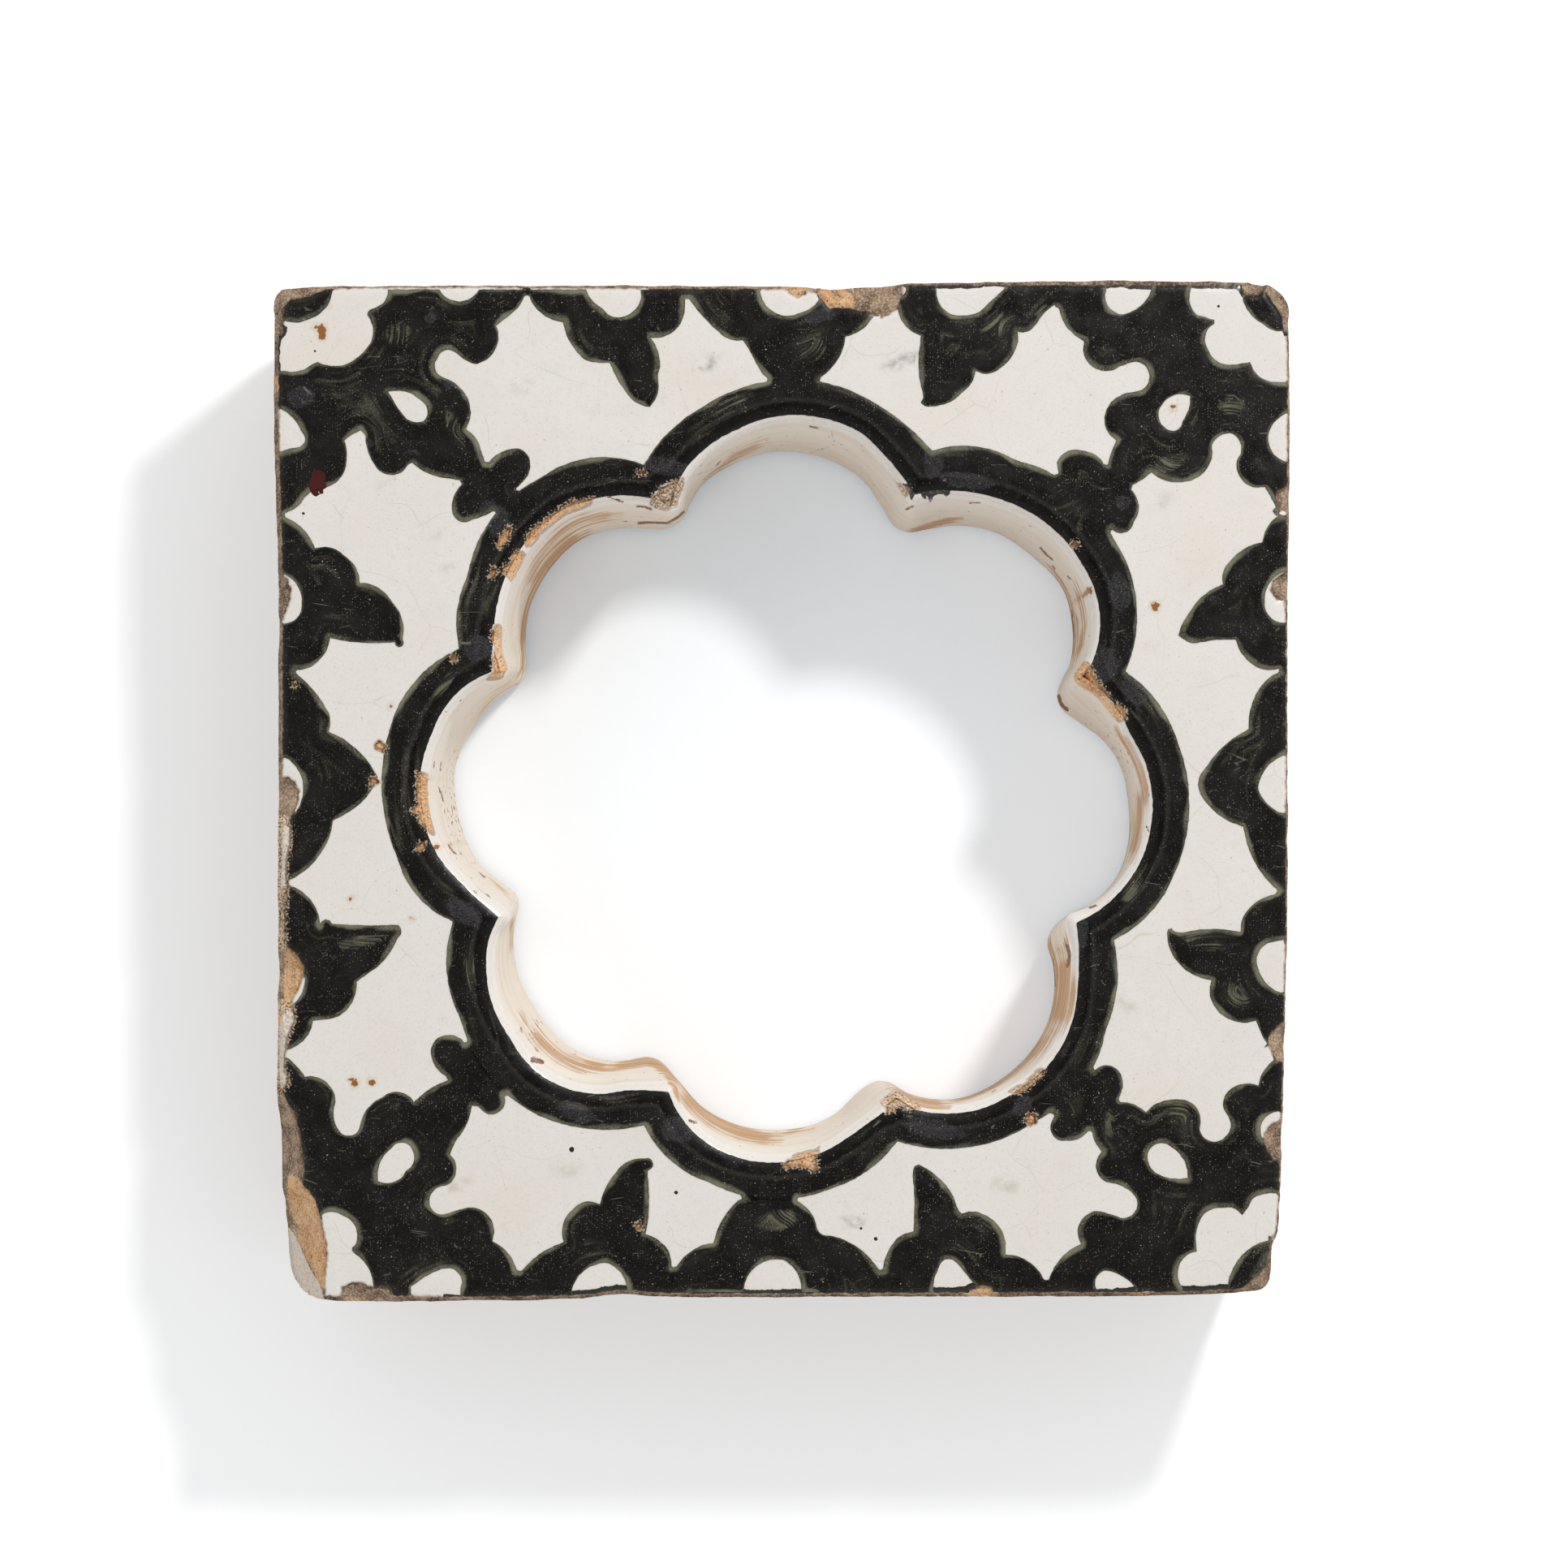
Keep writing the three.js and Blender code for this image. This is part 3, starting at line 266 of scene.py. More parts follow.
# Brown marks on the wall: half width in pixels and path
BROWN_MARKS = [
    (2.6, [(1305, 858), (1308, 868), (1316, 875)]), (2, [(786, 645), (805, 644), (822, 645)]),
    (2, [(822, 645), (835, 638), (842, 631)]), (2, [(785, 624), (795, 625), (802, 628)]),
    (1.2, [(766, 642), (772, 643)]), (3.4, [(737, 607), (746, 610)]),
    (1.6, [(748, 612), (758, 616), (767, 619)]), (1.7, [(1282, 675), (1290, 684), (1297, 690)]),
    (1.4, [(1297, 697), (1301, 702)]), (1.3, [(1195, 620), (1208, 620)]),
    (1.8, [(1117, 628), (1125, 624)]), (1.6, [(998, 526), (1008, 528)]),
    (1.2, [(888, 568), (882, 575)]), (1.2, [(535, 938), (534, 946)]),
    (1.2, [(543, 938), (542, 950)]), (1.4, [(540, 970), (544, 982), (546, 988)]),
    (1.5, [(552, 1041), (556, 1048), (561, 1052)]), (1.1, [(566, 1050), (568, 1053)]),
    (1.6, [(549, 877), (552, 877)]), (1.4, [(566, 864), (568, 862)]),
    (1.2, [(590, 1075), (597, 1081)]), (1.5, [(598, 1101), (604, 1107)]),
    (2, [(583, 1098), (586, 1099)]), (1.2, [(641, 1266), (643, 1272)]),
    (1.2, [(659, 1291), (662, 1295)]), (3.6, [(656, 1305), (667, 1308)]),
    (2.4, [(850, 1380), (857, 1383)]), (2.6, [(1315, 1165), (1319, 1176), (1316, 1190)]),
    (2, [(1343, 1118), (1351, 1116)]), (1.4, [(1369, 1108), (1373, 1106)]),
    (1.3, [(1321, 752), (1324, 785)]), (1.1, [(1298, 1180), (1301, 1215)]),
    (2, [(1388, 975), (1388, 980)]), (2, [(1414, 1018), (1416, 1024)]),
    (1.4, [(1316, 711), (1320, 714)]), (1.4, [(1416, 977), (1417, 981)]),
    (0.7, [(1028, 520), (1025, 535), (1029, 548), (1018, 552), (1000, 558)]),
    (1.2, [(865, 606), (858, 620)]), (1.6, [(661, 742), (657, 750)]),
    (1.0, [(1222, 1346), (1228, 1342)]),
]
# Where short brown dashes crowd the wall: place, half lengths in pixels, turn
DASHED = [
    (1372, 925, 24, 55, 35), (560, 990, 25, 110, 0), (870, 585, 20, 30, 40),
    (660, 1265, 15, 40, -30),
]
# Teeth of dark paint that run over the rim at the upper right cusp
TEETH = [
    (1112, 596), (1120, 609), (1123, 618), (1128, 610), (1135, 609), (1139, 618), (1142, 610),
    (1147, 621), (1152, 611), (1163, 609), (1166, 613), (1170, 610), (1172, 601), (1140, 598),
]
# A purple-brown drip over the edge of the upper left spray
PURPLE_DRIP = [
    (383, 588), (386, 580), (394, 580), (401, 586), (400, 594), (404, 600), (397, 604), (399, 612),
    (395, 613), (392, 606), (388, 614), (383, 608), (380, 600),
]
# Places at the teeth and the drip where the glaze needs finer points
FINE_PLACES = [(1118, 608), (1130, 608), (1145, 608), (391, 597)]

# Iron spots and dark specks in the glaze: place in pixels and radius in mm
IRON_SPOTS = [
    (395, 407, 1.0), (388, 404, 0.5), (397, 415, 0.7), (481, 870, 0.35), (437, 1334, 0.75),
    (457, 1333, 0.6), (432, 1330, 0.4), (1446, 503, 0.45), (1424, 747, 0.85), (531, 959, 0.45),
    (536, 1044, 0.5), (1344, 728, 0.6), (404, 377, 0.35), (431, 1107, 0.35), (507, 1132, 0.22),
]
DARK_SPECKS = [
    (704, 1416, 0.55), (833, 1469, 0.4), (1079, 1526, 0.4), (1061, 1513, 0.3), (373, 633, 0.3),
    (387, 433, 0.25), (1502, 378, 0.25),
]
# Smudges and stains of the glaze, and places where the paint is rubbed or brushed thin:
# place in pixels, half lengths in mm and turn
SMUDGES = [
    (1225, 430, 5.5, 2.2, 25), (1112, 445, 6.0, 2.0, 20), (800, 490, 4.0, 1.5, 0),
    (1050, 1505, 4.0, 1.6, -10), (870, 450, 4.0, 2.0, 30),
]
STAINS = [
    (530, 655, 3.5, 2.6, 0), (479, 592, 4.5, 2.4, 35), (645, 478, 3.4, 2.2, 0),
    (552, 700, 2.4, 2.0, 0), (560, 1460, 5.0, 2.0, 20), (1240, 1460, 5.0, 2.5, 0),
    (700, 1440, 4.5, 2.5, 0), (1430, 620, 4.0, 2.0, 40), (430, 960, 3.0, 5.0, 0),
    (1390, 1240, 4.0, 2.0, -40), (905, 395, 3.0, 2.0, 0), (760, 560, 4.0, 1.6, 25),
]
RUBBED = [
    (820, 575, 8.0, 2.5, -10), (1190, 592, 8.5, 2.2, -8), (1150, 570, 3.0, 5.0, 0),
    (1385, 620, 2.2, 2.2, 0), (1380, 730, 3.0, 6.0, 10), (1360, 820, 5.0, 5.0, 0),
    (1150, 1390, 9.0, 3.0, -12), (588, 800, 4.0, 4.0, 0), (1260, 1362, 3.5, 2.6, 40),
    (370, 490, 4.0, 3.0, 0), (610, 640, 4.0, 6.0, 30), (1380, 1180, 3.0, 4.0, 0),
    (1010, 390, 5.0, 2.0, 10), (600, 560, 3.0, 3.0, 0), (530, 393, 1.8, 1.3, 20),
    (553, 474, 1.8, 1.2, 30), (453, 547, 1.4, 1.4, 0), (835, 1390, 5.0, 4.0, 0),
    (710, 1370, 6.0, 3.0, -20), (1400, 850, 4.0, 5.0, 30), (1330, 1150, 2.5, 6.0, 0),
    (572, 1124, 6.0, 3.0, -35),
]
BRUSHED = [
    (1485, 1160, 6.5, 2.2, -12), (1520, 1225, 5.0, 3.0, -40), (1402, 1088, 7.0, 2.2, 55),
    (893, 500, 8.0, 1.6, 22), (578, 1190, 8.0, 1.6, 95), (545, 845, 5.5, 1.6, 50),
    (490, 412, 4.0, 3.2, 20), (1228, 402, 5.5, 3.5, 35), (1292, 386, 3.5, 2.2, 0),
    (958, 1503, 6.0, 3.0, 10), (1440, 572, 6.0, 2.2, 25), (1368, 1385, 1.6, 4.5, 0),
    (1452, 1372, 3.0, 4.0, 0), (445, 1160, 7.0, 1.8, 10), (1000, 430, 4.5, 4.5, 0),
    (1470, 510, 1.8, 4.0, 0), (1520, 500, 4.0, 3.0, 0), (560, 530, 2.0, 6.0, 20),
    (1570, 960, 2.0, 6.0, 0),
]
# Dark borders along the face's edges: ends in pixels and width in mm
BORDERS = [
    ((545, 1592), (1560, 1592), 1.1), ((1125, 352), (1560, 352), 0.9),
    ((344, 400), (344, 460), 1.0),
]
BORDER_REACH = 4.0  # how far from its line a border can lie

# Rows of points on the roll, by their distance from the wall
ROLL_RINGS = (0.06, 0.22, 0.45, 0.8, ROLL_STRIP, 1.5, 1.8, 2.15, 2.5, 3.0, 3.6)

# How painted motifs meet: within a reach they lap, and they run out past the glaze's edge
JOINT_REACH = 0.75
JOINT_OVERLAP = 0.42
EDGE_OVERSHOOT = 0.9
AT_EDGE = 0.12  # an outline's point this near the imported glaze's edge ends there
AT_OPENING = 0.2

# The paint's thickness at its edges and more in its body, how much each of four layers
# stands above the last, and how far the coat's underside is sunk into the glaze
PAINT_EDGE = 0.07
PAINT_BODY = 0.12
PAINT_STEP = 0.012
PAINT_LAYERS = 4
PAINT_SUNK = 0.1
INNER_BAND = 6.0  # how far from the opening's edge the paint's distance to it is kept
MOTIFS = sorted(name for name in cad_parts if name.startswith("painted_"))

# Sizes and weights of the noise that breaks the glaze's edge and the chips' edges
EDGE_NOISE = ((2.6, 0.6), (0.9, 0.6))
CHIP_NOISE = ((2.1, 0.7), (0.8, 0.7), (0.38, 0.5))

PURPLE = (0.060, 0.011, 0.010)
CREAM = (0.775, 0.742, 0.702)
WARM_CREAM = (0.75, 0.69, 0.61)
WORN_DARK = (0.110, 0.066, 0.042)
WORN_PALE = (0.380, 0.260, 0.175)


def on_face(pixels):
    """Place on the face, in mm, of a pixel of the photograph or of a list of them."""
    place = (np.array(pixels, float) - PIXEL_MIDDLE) * (PIXEL, -PIXEL)
    return (place - CARTOON_CENTRE) * CARTOON_SCALE


# Outlines

def area(loop):
    """Signed area of a loop, positive where it runs counterclockwise."""
    after = np.roll(loop, -1, axis=0)
    return 0.5 * float(np.sum(loop[:, 0] * after[:, 1] - after[:, 0] * loop[:, 1]))


def flat_loops(node, height):
    """Closed counterclockwise outlines of a node's flat faces at a height, largest first."""
    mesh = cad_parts[node].data
    corners = np.array([v.co for v in mesh.vertices]) / MM
    used = set()
    for face in mesh.polygons:
        points = corners[list(face.vertices)]
        if np.abs(points[:, 2] - height).max() > 0.01:
            continue
        keys = [(round(float(p[0]), 3), round(float(p[1]), 3)) for p in points]
        if len(set(keys)) == len(keys):
            used.update(zip(keys, keys[1:] + keys[:1]))
    following = {}
    for start, end in sorted(used):
        if (end, start) not in used:
            following.setdefault(start, []).append(end)
    loops = []
    while any(following.values()):
        start = next(key for key, ends in following.items() if ends)
        loop = [start]
        here = following[start].pop()
        while here != start:
            loop.append(here)
            here = following[here].pop()
        loop = np.array(loop)
        loops.append(loop if area(loop) > 0 else loop[::-1])
    return sorted(loops, key=lambda loop: -area(loop))


def smooth_loop(loop, spacing, corner=27):
    """The loop with its curves rounded out and its corners kept, at an even spacing."""
    count = len(loop)
    before = loop - np.roll(loop, 1, axis=0)
    after = np.roll(loop, -1, axis=0) - loop
    cross = before[:, 0] * after[:, 1] - before[:, 1] * after[:, 0]
    sharp = np.abs(np.arctan2(cross, (before * after).sum(1))) > math.radians(corner)
    points = []
    for i in range(count):
        p1 = loop[i]
        p2 = loop[(i + 1) % count]
        p0 = 2 * p1 - p2 if sharp[i] else loop[i - 1]
        p3 = 2 * p2 - p1 if sharp[(i + 1) % count] else loop[(i + 2) % count]
        steps = max(1, int(math.ceil(np.linalg.norm(p2 - p1) / spacing)))
        points.extend(spline_points(p0, p1, p2, p3, steps))
    return np.array(points)


def spline_points(p0, p1, p2, p3, steps):
    """Points of the centripetal spline from p1 up to, not including, p2."""
    gaps = [max(np.linalg.norm(b - a), 1e-6) ** 0.5 for a, b in ((p0, p1), (p1, p2), (p2, p3))]
    leave = (p1 - p0) / gaps[0] - (p2 - p0) / (gaps[0] + gaps[1]) + (p2 - p1) / gaps[1]
    reach = (p2 - p1) / gaps[1] - (p3 - p1) / (gaps[1] + gaps[2]) + (p3 - p2) / gaps[2]
    t = (np.arange(steps) / steps)[:, None]
    return ((2 * t ** 3 - 3 * t ** 2 + 1) * p1 + (t ** 3 - 2 * t ** 2 + t) * leave * gaps[1]
            + (3 * t ** 2 - 2 * t ** 3) * p2 + (t ** 3 - t ** 2) * reach * gaps[1])


def outward(loop):
    """Unit normals at a counterclockwise loop's points, pointing out of it."""
    along = np.roll(loop, -1, axis=0) - np.roll(loop, 1, axis=0)
    along /= np.maximum(np.linalg.norm(along, axis=1, keepdims=True), 1e-9)
    return np.stack([along[:, 1], -along[:, 0]], axis=1)


def passed_length(loop):
    """Length of the loop up to each of its points, and at the end up to its start again."""
    steps = np.linalg.norm(np.roll(loop, -1, axis=0) - loop, axis=1)
    return np.concatenate([[0], np.cumsum(steps)])


def segment_distance(points, a, b):
    """Distance of points from segments, row by row or all from one."""
    along = b - a
    share = ((points - a) * along).sum(-1) / np.maximum((along ** 2).sum(-1), 1e-12)
    return np.linalg.norm(points - a - along * np.clip(share, 0, 1)[:, None], axis=1)


def plan_tree(points, kept=None):
    """A tree that finds, in plan, the nearest of all points or of the kept ones."""
    tree = KDTree(len(points))
    for i, point in enumerate(points.tolist()):
        if kept is None or kept[i]:
            tree.insert((point[0], point[1], 0), i)
    tree.balance()
    return tree


def nearest(tree, places):
    """Index of the point of a tree that is nearest to each place."""
    return np.array([tree.find((p[0], p[1], 0))[1] for p in places.tolist()], int)


class Outline:
    """Closed loops that distances are measured to, from all their corners or only some."""

    def __init__(self, loops, kept=None):
        self.start = np.concatenate(loops)
        self.end = np.concatenate([np.roll(loop, -1, axis=0) for loop in loops])
        self.before = np.concatenate([np.roll(loop, 1, axis=0) for loop in loops])
        self.low = self.start.min(0)
        self.high = self.start.max(0)
        self.tree = plan_tree(self.start, kept)

    def distance(self, points):
        index = nearest(self.tree, points)
        here = self.start[index]
        return np.minimum(segment_distance(points, here, self.end[index]),
                          segment_distance(points, here, self.before[index]))

    def holds(self, points):
        """Whether each point lies inside, by the even-odd rule."""
        found = np.zeros(len(points), bool)
        near = np.nonzero(((points > self.low) & (points < self.high)).all(1))[0]
        a, b = self.start, self.end
        rise = np.where(b[:, 1] == a[:, 1], 1e-12, b[:, 1] - a[:, 1])
        for low in range(0, len(near), BATCH):
            part = near[low:low + BATCH]
            x = points[part, 0:1]
            y = points[part, 1:2]
            spans = (a[:, 1] > y) != (b[:, 1] > y)
            crossing = (b[:, 0] - a[:, 0]) * (y - a[:, 1]) / rise + a[:, 0]
            found[part] = (spans & (x < crossing)).sum(1) % 2 == 1
        return found

    def signed(self, points):
        """Distance to the outline, negative inside."""
        return np.where(self.holds(points), -1, 1) * self.distance(points)

    def near(self, points, margin):
        """Whether each point lies in the outline's box, widened by a margin."""
        return ((points > self.low - margin) & (points < self.high + margin)).all(1)


def smoothstep(low, high, value):
    t = np.clip((value - low) / (high - low), 0, 1)
    return t * t * (3 - 2 * t)


def wave(points, size, seed, octaves=1):
    """Smooth noise of about -1 to 1 at points in mm, with lumps of the given size."""
    flat = points if points.shape[1] == 3 else np.column_stack([points, np.zeros(len(points))])
    total = np.zeros(len(points))
    for octave in range(octaves):
        at = (flat * (2 ** octave / size) + seed * 17.3).tolist()
        total += np.array([lumps.noise(p) for p in at]) / 2 ** octave
    return total * 1.4


def grid(spacing, low=(-FIELD_REACH, -FIELD_REACH), high=(FIELD_REACH, FIELD_REACH)):
    """A hexagonal field of points over a rectangle."""
    rows = np.arange(low[1], high[1], spacing * 0.866)
    columns = np.arange(low[0], high[0], spacing)
    x, y = np.meshgrid(columns, rows)
    x = x + (np.arange(len(rows)) % 2)[:, None] * spacing / 2
    return np.column_stack([x.ravel(), y.ravel()])


def fill(loops, inner_points, inside):
    """Points and triangles between loops and through points, where the test of a place holds."""
    fixed = sum(len(loop) for loop in loops)
    vertices = [Vector(p) for p in np.concatenate(loops + [inner_points]).tolist()]
    edges = []
    first = 0
    for loop in loops:
        edges += [(first + i, first + (i + 1) % len(loop)) for i in range(len(loop))]
        first += len(loop)
    points, _, faces, origins, _, _ = delaunay_2d_cdt(vertices, edges, [], 0, 1e-5)
    points = np.array([tuple(p) for p in points])
    faces = np.array([tuple(f) for f in faces])
    free = np.array([bool(group) and min(group) >= fixed for group in origins])
    doubtful = ~free[faces].any(1)
    kept = np.ones(len(faces), bool)
    kept[doubtful] = inside(points[faces[doubtful]].mean(1))
    used = np.unique(faces[kept])
    place = np.full(len(points), -1)
    place[used] = np.arange(len(used))
    return points[used], [list(map(int, face)) for face in place[faces[kept]]]


def between(outer, hollow):
    """A test of whether places lie inside one outline and outside another."""
    return lambda places: outer.holds(places) & ~hollow.holds(places)


# The tile's own lines

def crumbled(loop, reach, seed, sizes):
    """The loop with its line broken by noise of several sizes and weights."""
    push = sum(weight * wave(loop, size, seed + i) for i, (size, weight) in enumerate(sizes))
    return loop + outward(loop) * (reach * push)[:, None]


def pixel_loop(pixels, spacing):
    """A smooth counterclockwise loop on the face through pixels of the photograph."""
    loop = on_face(pixels)
    return smooth_loop(loop if area(loop) > 0 else loop[::-1], spacing, 60)


def at_corners(loop, corners):
    """The loop starting at the first corner, and the index nearest to each corner."""
    found = [int(np.linalg.norm(loop - corner, axis=1).argmin()) for corner in corners]
    return np.roll(loop, -found[0], axis=0), sorted((n - found[0]) % len(loop) for n in found)


def shares_along(loop, stops):
    """Each point's passage from 0 to 1 between the stops before and after it, by length."""
    length = passed_length(loop)
    marks = np.append(length[stops], length[-1])
    return np.interp(length[:-1], marks, np.arange(len(marks)))


def foot_shift(loop, tops):
    """How far the wall's foot stands from the straight drop of each point of its top."""
    reach = (VIEW_DISTANCE + FACE - LINING_FOOT) / VIEW_DISTANCE
    foot = smooth_loop(AXIS + (on_face(FOOT_LINE) - AXIS) * reach, 0.3, 80)
    foot, stops = at_corners(foot, AXIS + (on_face(FOOT_CUSPS) - AXIS) * reach)
    place = np.append(shares_along(foot, stops), len(stops))
    foot = np.vstack([foot, foot[:1]])
    wanted = shares_along(loop, tops)
    return np.stack([np.interp(wanted, place, foot[:, i]) for i in (0, 1)], axis=1) - loop


opening_edge = Outline([smooth_loop(flat_loops("painted_opening_band", FACE)[-1], 0.3)])
wall_loop = smooth_loop(flat_loops("white_glaze", LINING_FOOT)[-1], 0.5, 50)
wall_loop, wall_cusps = at_corners(wall_loop, on_face(CUSPS))
wall_normals = outward(wall_loop)
wall_lean = foot_shift(wall_loop, wall_cusps)
wall_line = Outline([wall_loop])
side_loop = smooth_loop(flat_loops("clay_body", 0.0)[0] * (1 + BASE_CHAMFER / 100), 0.6)
cad_glaze_edge = smooth_loop(flat_loops("white_glaze", FACE)[0], 0.28)
cad_glaze_line = Outline([cad_glaze_edge])
glaze_edge = crumbled(cad_glaze_edge + outward(cad_glaze_edge) * 0.12, 0.22, 3, EDGE_NOISE)
glaze_edge += outward(cad_glaze_edge) * 0.12 * wave(cad_glaze_edge, 0.7, 9)[:, None]
glaze_line = Outline([glaze_edge])
chip_loops = [crumbled(pixel_loop(chip[2], 0.16), 0.30, 20 + 3 * i, CHIP_NOISE)
              for i, chip in enumerate(CHIPS)]
chip_lines = [Outline([loop]) for loop in chip_loops]
purple_line = Outline([pixel_loop(PURPLE_DRIP, 0.25)])
teeth_line = Outline([pixel_loop(TEETH, 0.2)])
orange_lines = [Outline([pixel_loop(patch, 0.6)]) for patch in ORANGE_PATCHES]
pale_lines = [Outline([pixel_loop(patch, 0.6)]) for patch in PALE_PATCHES]


def least_signed(lines, points, reach):
    """Signed distance to the nearest of several outlines, and which one, up to a reach."""
    best = np.full(len(points), float(reach))
    which = np.full(len(points), -1)
    for number, line in enumerate(lines):
        near = np.nonzero(line.near(points, reach))[0]
        if len(near):
            found = line.signed(points[near])
            better = found < best[near]
            best[near[better]] = found[better]
            which[near[better]] = number
    return best, which


def chip_distance(points, reach):
    """Signed distance to the nearest chip, up to a reach."""
    return least_signed(chip_lines, points, reach)[0]


def chip_shade(points, reach, elsewhere):
    """Colour of the chip within reach of each point, and whether there is one."""
    which = least_signed(chip_lines, points, reach)[1]
    return np.array([chip[1] for chip in CHIPS] + [elsewhere])[which], which >= 0


def in_chip(points):
    """Whether the coat is gone at each point; next to the wall a bared strip stays."""
    found = chip_distance(points, 0.01) < 0
    found[found] = wall_line.distance(points[found]) > ROLL_STRIP
    return found


# Heights of the surfaces

def roll_reach(points):
    """Distance from the roll's centre line, full at the glazed wall, least at the face."""
    to_wall = wall_line.distance(points)
    share = to_wall / np.maximum(to_wall + opening_edge.distance(points), 1e-6)
    return ROLL_RADIUS - WALL_INSET * share


def rim_height(points):
    """The face, rolling over to the wall near the opening."""
    over = opening_edge.holds(points)
    away = opening_edge.distance(points)
    height = FACE - ROLL_DROP * np.clip(1 - away / ROLL_WIDTH, 0, 1) ** 2
    height[over] = WALL_TOP + np.sqrt(ROLL_RADIUS ** 2 - roll_reach(points[over]) ** 2)
    return height


def swell(points):
    """Hand-made unevenness of the face."""
    return 0.10 * wave(points, 38, 5) + 0.03 * wave(points, 9, 6)


def glaze_height(points):
    """Top of the glaze, which sinks a little towards its edge."""
    edge = np.clip(1 - glaze_line.distance(points) / 1.3, 0, 1)
    return rim_height(points) + swell(points) - 0.25 * edge ** 2


clay_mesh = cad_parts["clay_body"].data
clay_tree = BVHTree.FromPolygons([tuple(v.co / MM) for v in clay_mesh.vertices],
                                 [tuple(p.vertices) for p in clay_mesh.polygons])


def packed_clay_height(points):
    """Top of the packed clay body below each point, or below the nearest one that it covers."""
    found = np.full(len(points), np.nan)
    for i, p in enumerate(points.tolist()):
        hit = clay_tree.ray_cast(Vector((p[0], p[1], 2 * FACE)), Vector((0, 0, -1)))[0]
        if hit:
            found[i] = hit.z
    missing = np.isnan(found)
    found[missing] = found[nearest(plan_tree(points, ~missing), points[missing])]
    return found


def clay_height(points):
    """Under the glaze, bare at the worn edges, and dug out in the chips."""
    covered = glaze_line.holds(points)
    height = rim_height(points) + swell(points) - GLAZE - CLAY_GAP
    over = opening_edge.holds(points)
    radius = ROLL_RADIUS - CLAY_ROLL
    height[over] = WALL_TOP + np.sqrt(np.maximum(radius ** 2 - roll_reach(points[over]) ** 2, 0))
    near_side = np.abs(points).max(1) > OUTER_BAND - 4
    bare = packed_clay_height(points[near_side])
    height[near_side] = np.where(covered[near_side],
                                 np.minimum(height[near_side], bare - CLAY_GAP), bare - 0.05)
    grain = 0.16 * wave(points, 1.6, 8, 2) + 0.3 * wave(points, 5, 9)
    height += np.where(covered, 0, grain - 0.1)
    inside, which = least_signed(chip_lines, points, 0.6)
    for number, (depth, _, _) in enumerate(CHIPS):
        here = which == number
        if here.any():
            within = -inside[here]
            dig = (depth - 0.6) * smoothstep(0.2, 1.6, within)
            dig *= 0.75 + 0.3 * wave(points[here], 2.2, 60 + number)
            rough = 0.16 * wave(points[here], 0.9, 30 + number, 2)
            height[here] += CHIP_RISE * smoothstep(-0.05, 0.45, within) - dig - rough
    return height


# Meshes

def weld(points, faces):
    """Points merged where they coincide, faces without collapsed ones, and where points were."""
    _, first, index = np.unique(np.round(points, 3), axis=0, return_index=True,
                                return_inverse=True)
    index = index.ravel()
    kept = []
    for face in faces:
        ring = [int(index[v]) for v in face]
        ring = [v for k, v in enumerate(ring) if v != ring[k - 1]]
        if len(ring) > 2:
            kept.append(ring)
    return points[first], kept, first


def point_normals(points, faces):
    """Unit normals of a surface at its points."""
    total = np.zeros((len(points), 3))
    for size in (3, 4):
        rows = np.array([face for face in faces if len(face) == size])
        if len(rows):
            turn = np.cross(points[rows[:, 1]] - points[rows[:, 0]],
                            points[rows[:, -1]] - points[rows[:, 0]])
            for column in range(size):
                np.add.at(total, rows[:, column], turn)
    return total / np.maximum(np.linalg.norm(total, axis=1, keepdims=True), 1e-12)


def closed_coat(upper, lower, faces):
    """A coat between two surfaces that share their faces, closed round its edges."""
    count = len(upper)
    used = set()
    for face in faces:
        used.update(zip(face, face[1:] + face[:1]))
    shell = faces + [[v + count for v in reversed(face)] for face in faces]
    shell += [[b, a, a + count, b + count] for a, b in sorted(used) if (b, a) not in used]
    return np.vstack([upper, lower]), shell


def strip(first, second, count):
    """Quads between two closed rows of points."""
    return [[first + i, first + (i + 1) % count, second + (i + 1) % count, second + i]
            for i in range(count)]


def add_object(name, data):
    """A new object in the scene."""
    thing = bpy.data.objects.new(name, data)
    bpy.context.scene.collection.objects.link(thing)
    return thing


def make_piece(name, points, faces, node, material, values):
    """A smooth mesh, in mm, that stands for a CAD node, with named values at its points."""
    mesh = bpy.data.meshes.new(name)
    mesh.from_pydata((points * MM).tolist(), [], faces)
    for key, data in values.items():
        layer = mesh.attributes.new(key, "FLOAT", "POINT")
        layer.data.foreach_set("value", np.asarray(data, np.float32))
    mesh.validate()
    mesh.shade_smooth()
    mesh.set_sharp_from_angle(angle=math.radians(SHARP))
    mesh.materials.append(material)
    piece = add_object(name, mesh)
    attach(piece, "root")
    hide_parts(node)


# Materials

class Value:
    """Output of a material's node, which sums, differences, products and quotients build on."""

    def __init__(self, look, socket):
        self.look = look
        self.socket = socket

    def __add__(self, other):
        return self.look.math("ADD", self, other)

    def __sub__(self, other):
        return self.look.math("SUBTRACT", self, other)

    def __rsub__(self, other):
        return self.look.math("SUBTRACT", other, self)

    def __mul__(self, other):
        return self.look.math("MULTIPLY", self, other)

    def __truediv__(self, other):
        return self.look.math("DIVIDE", self, other)


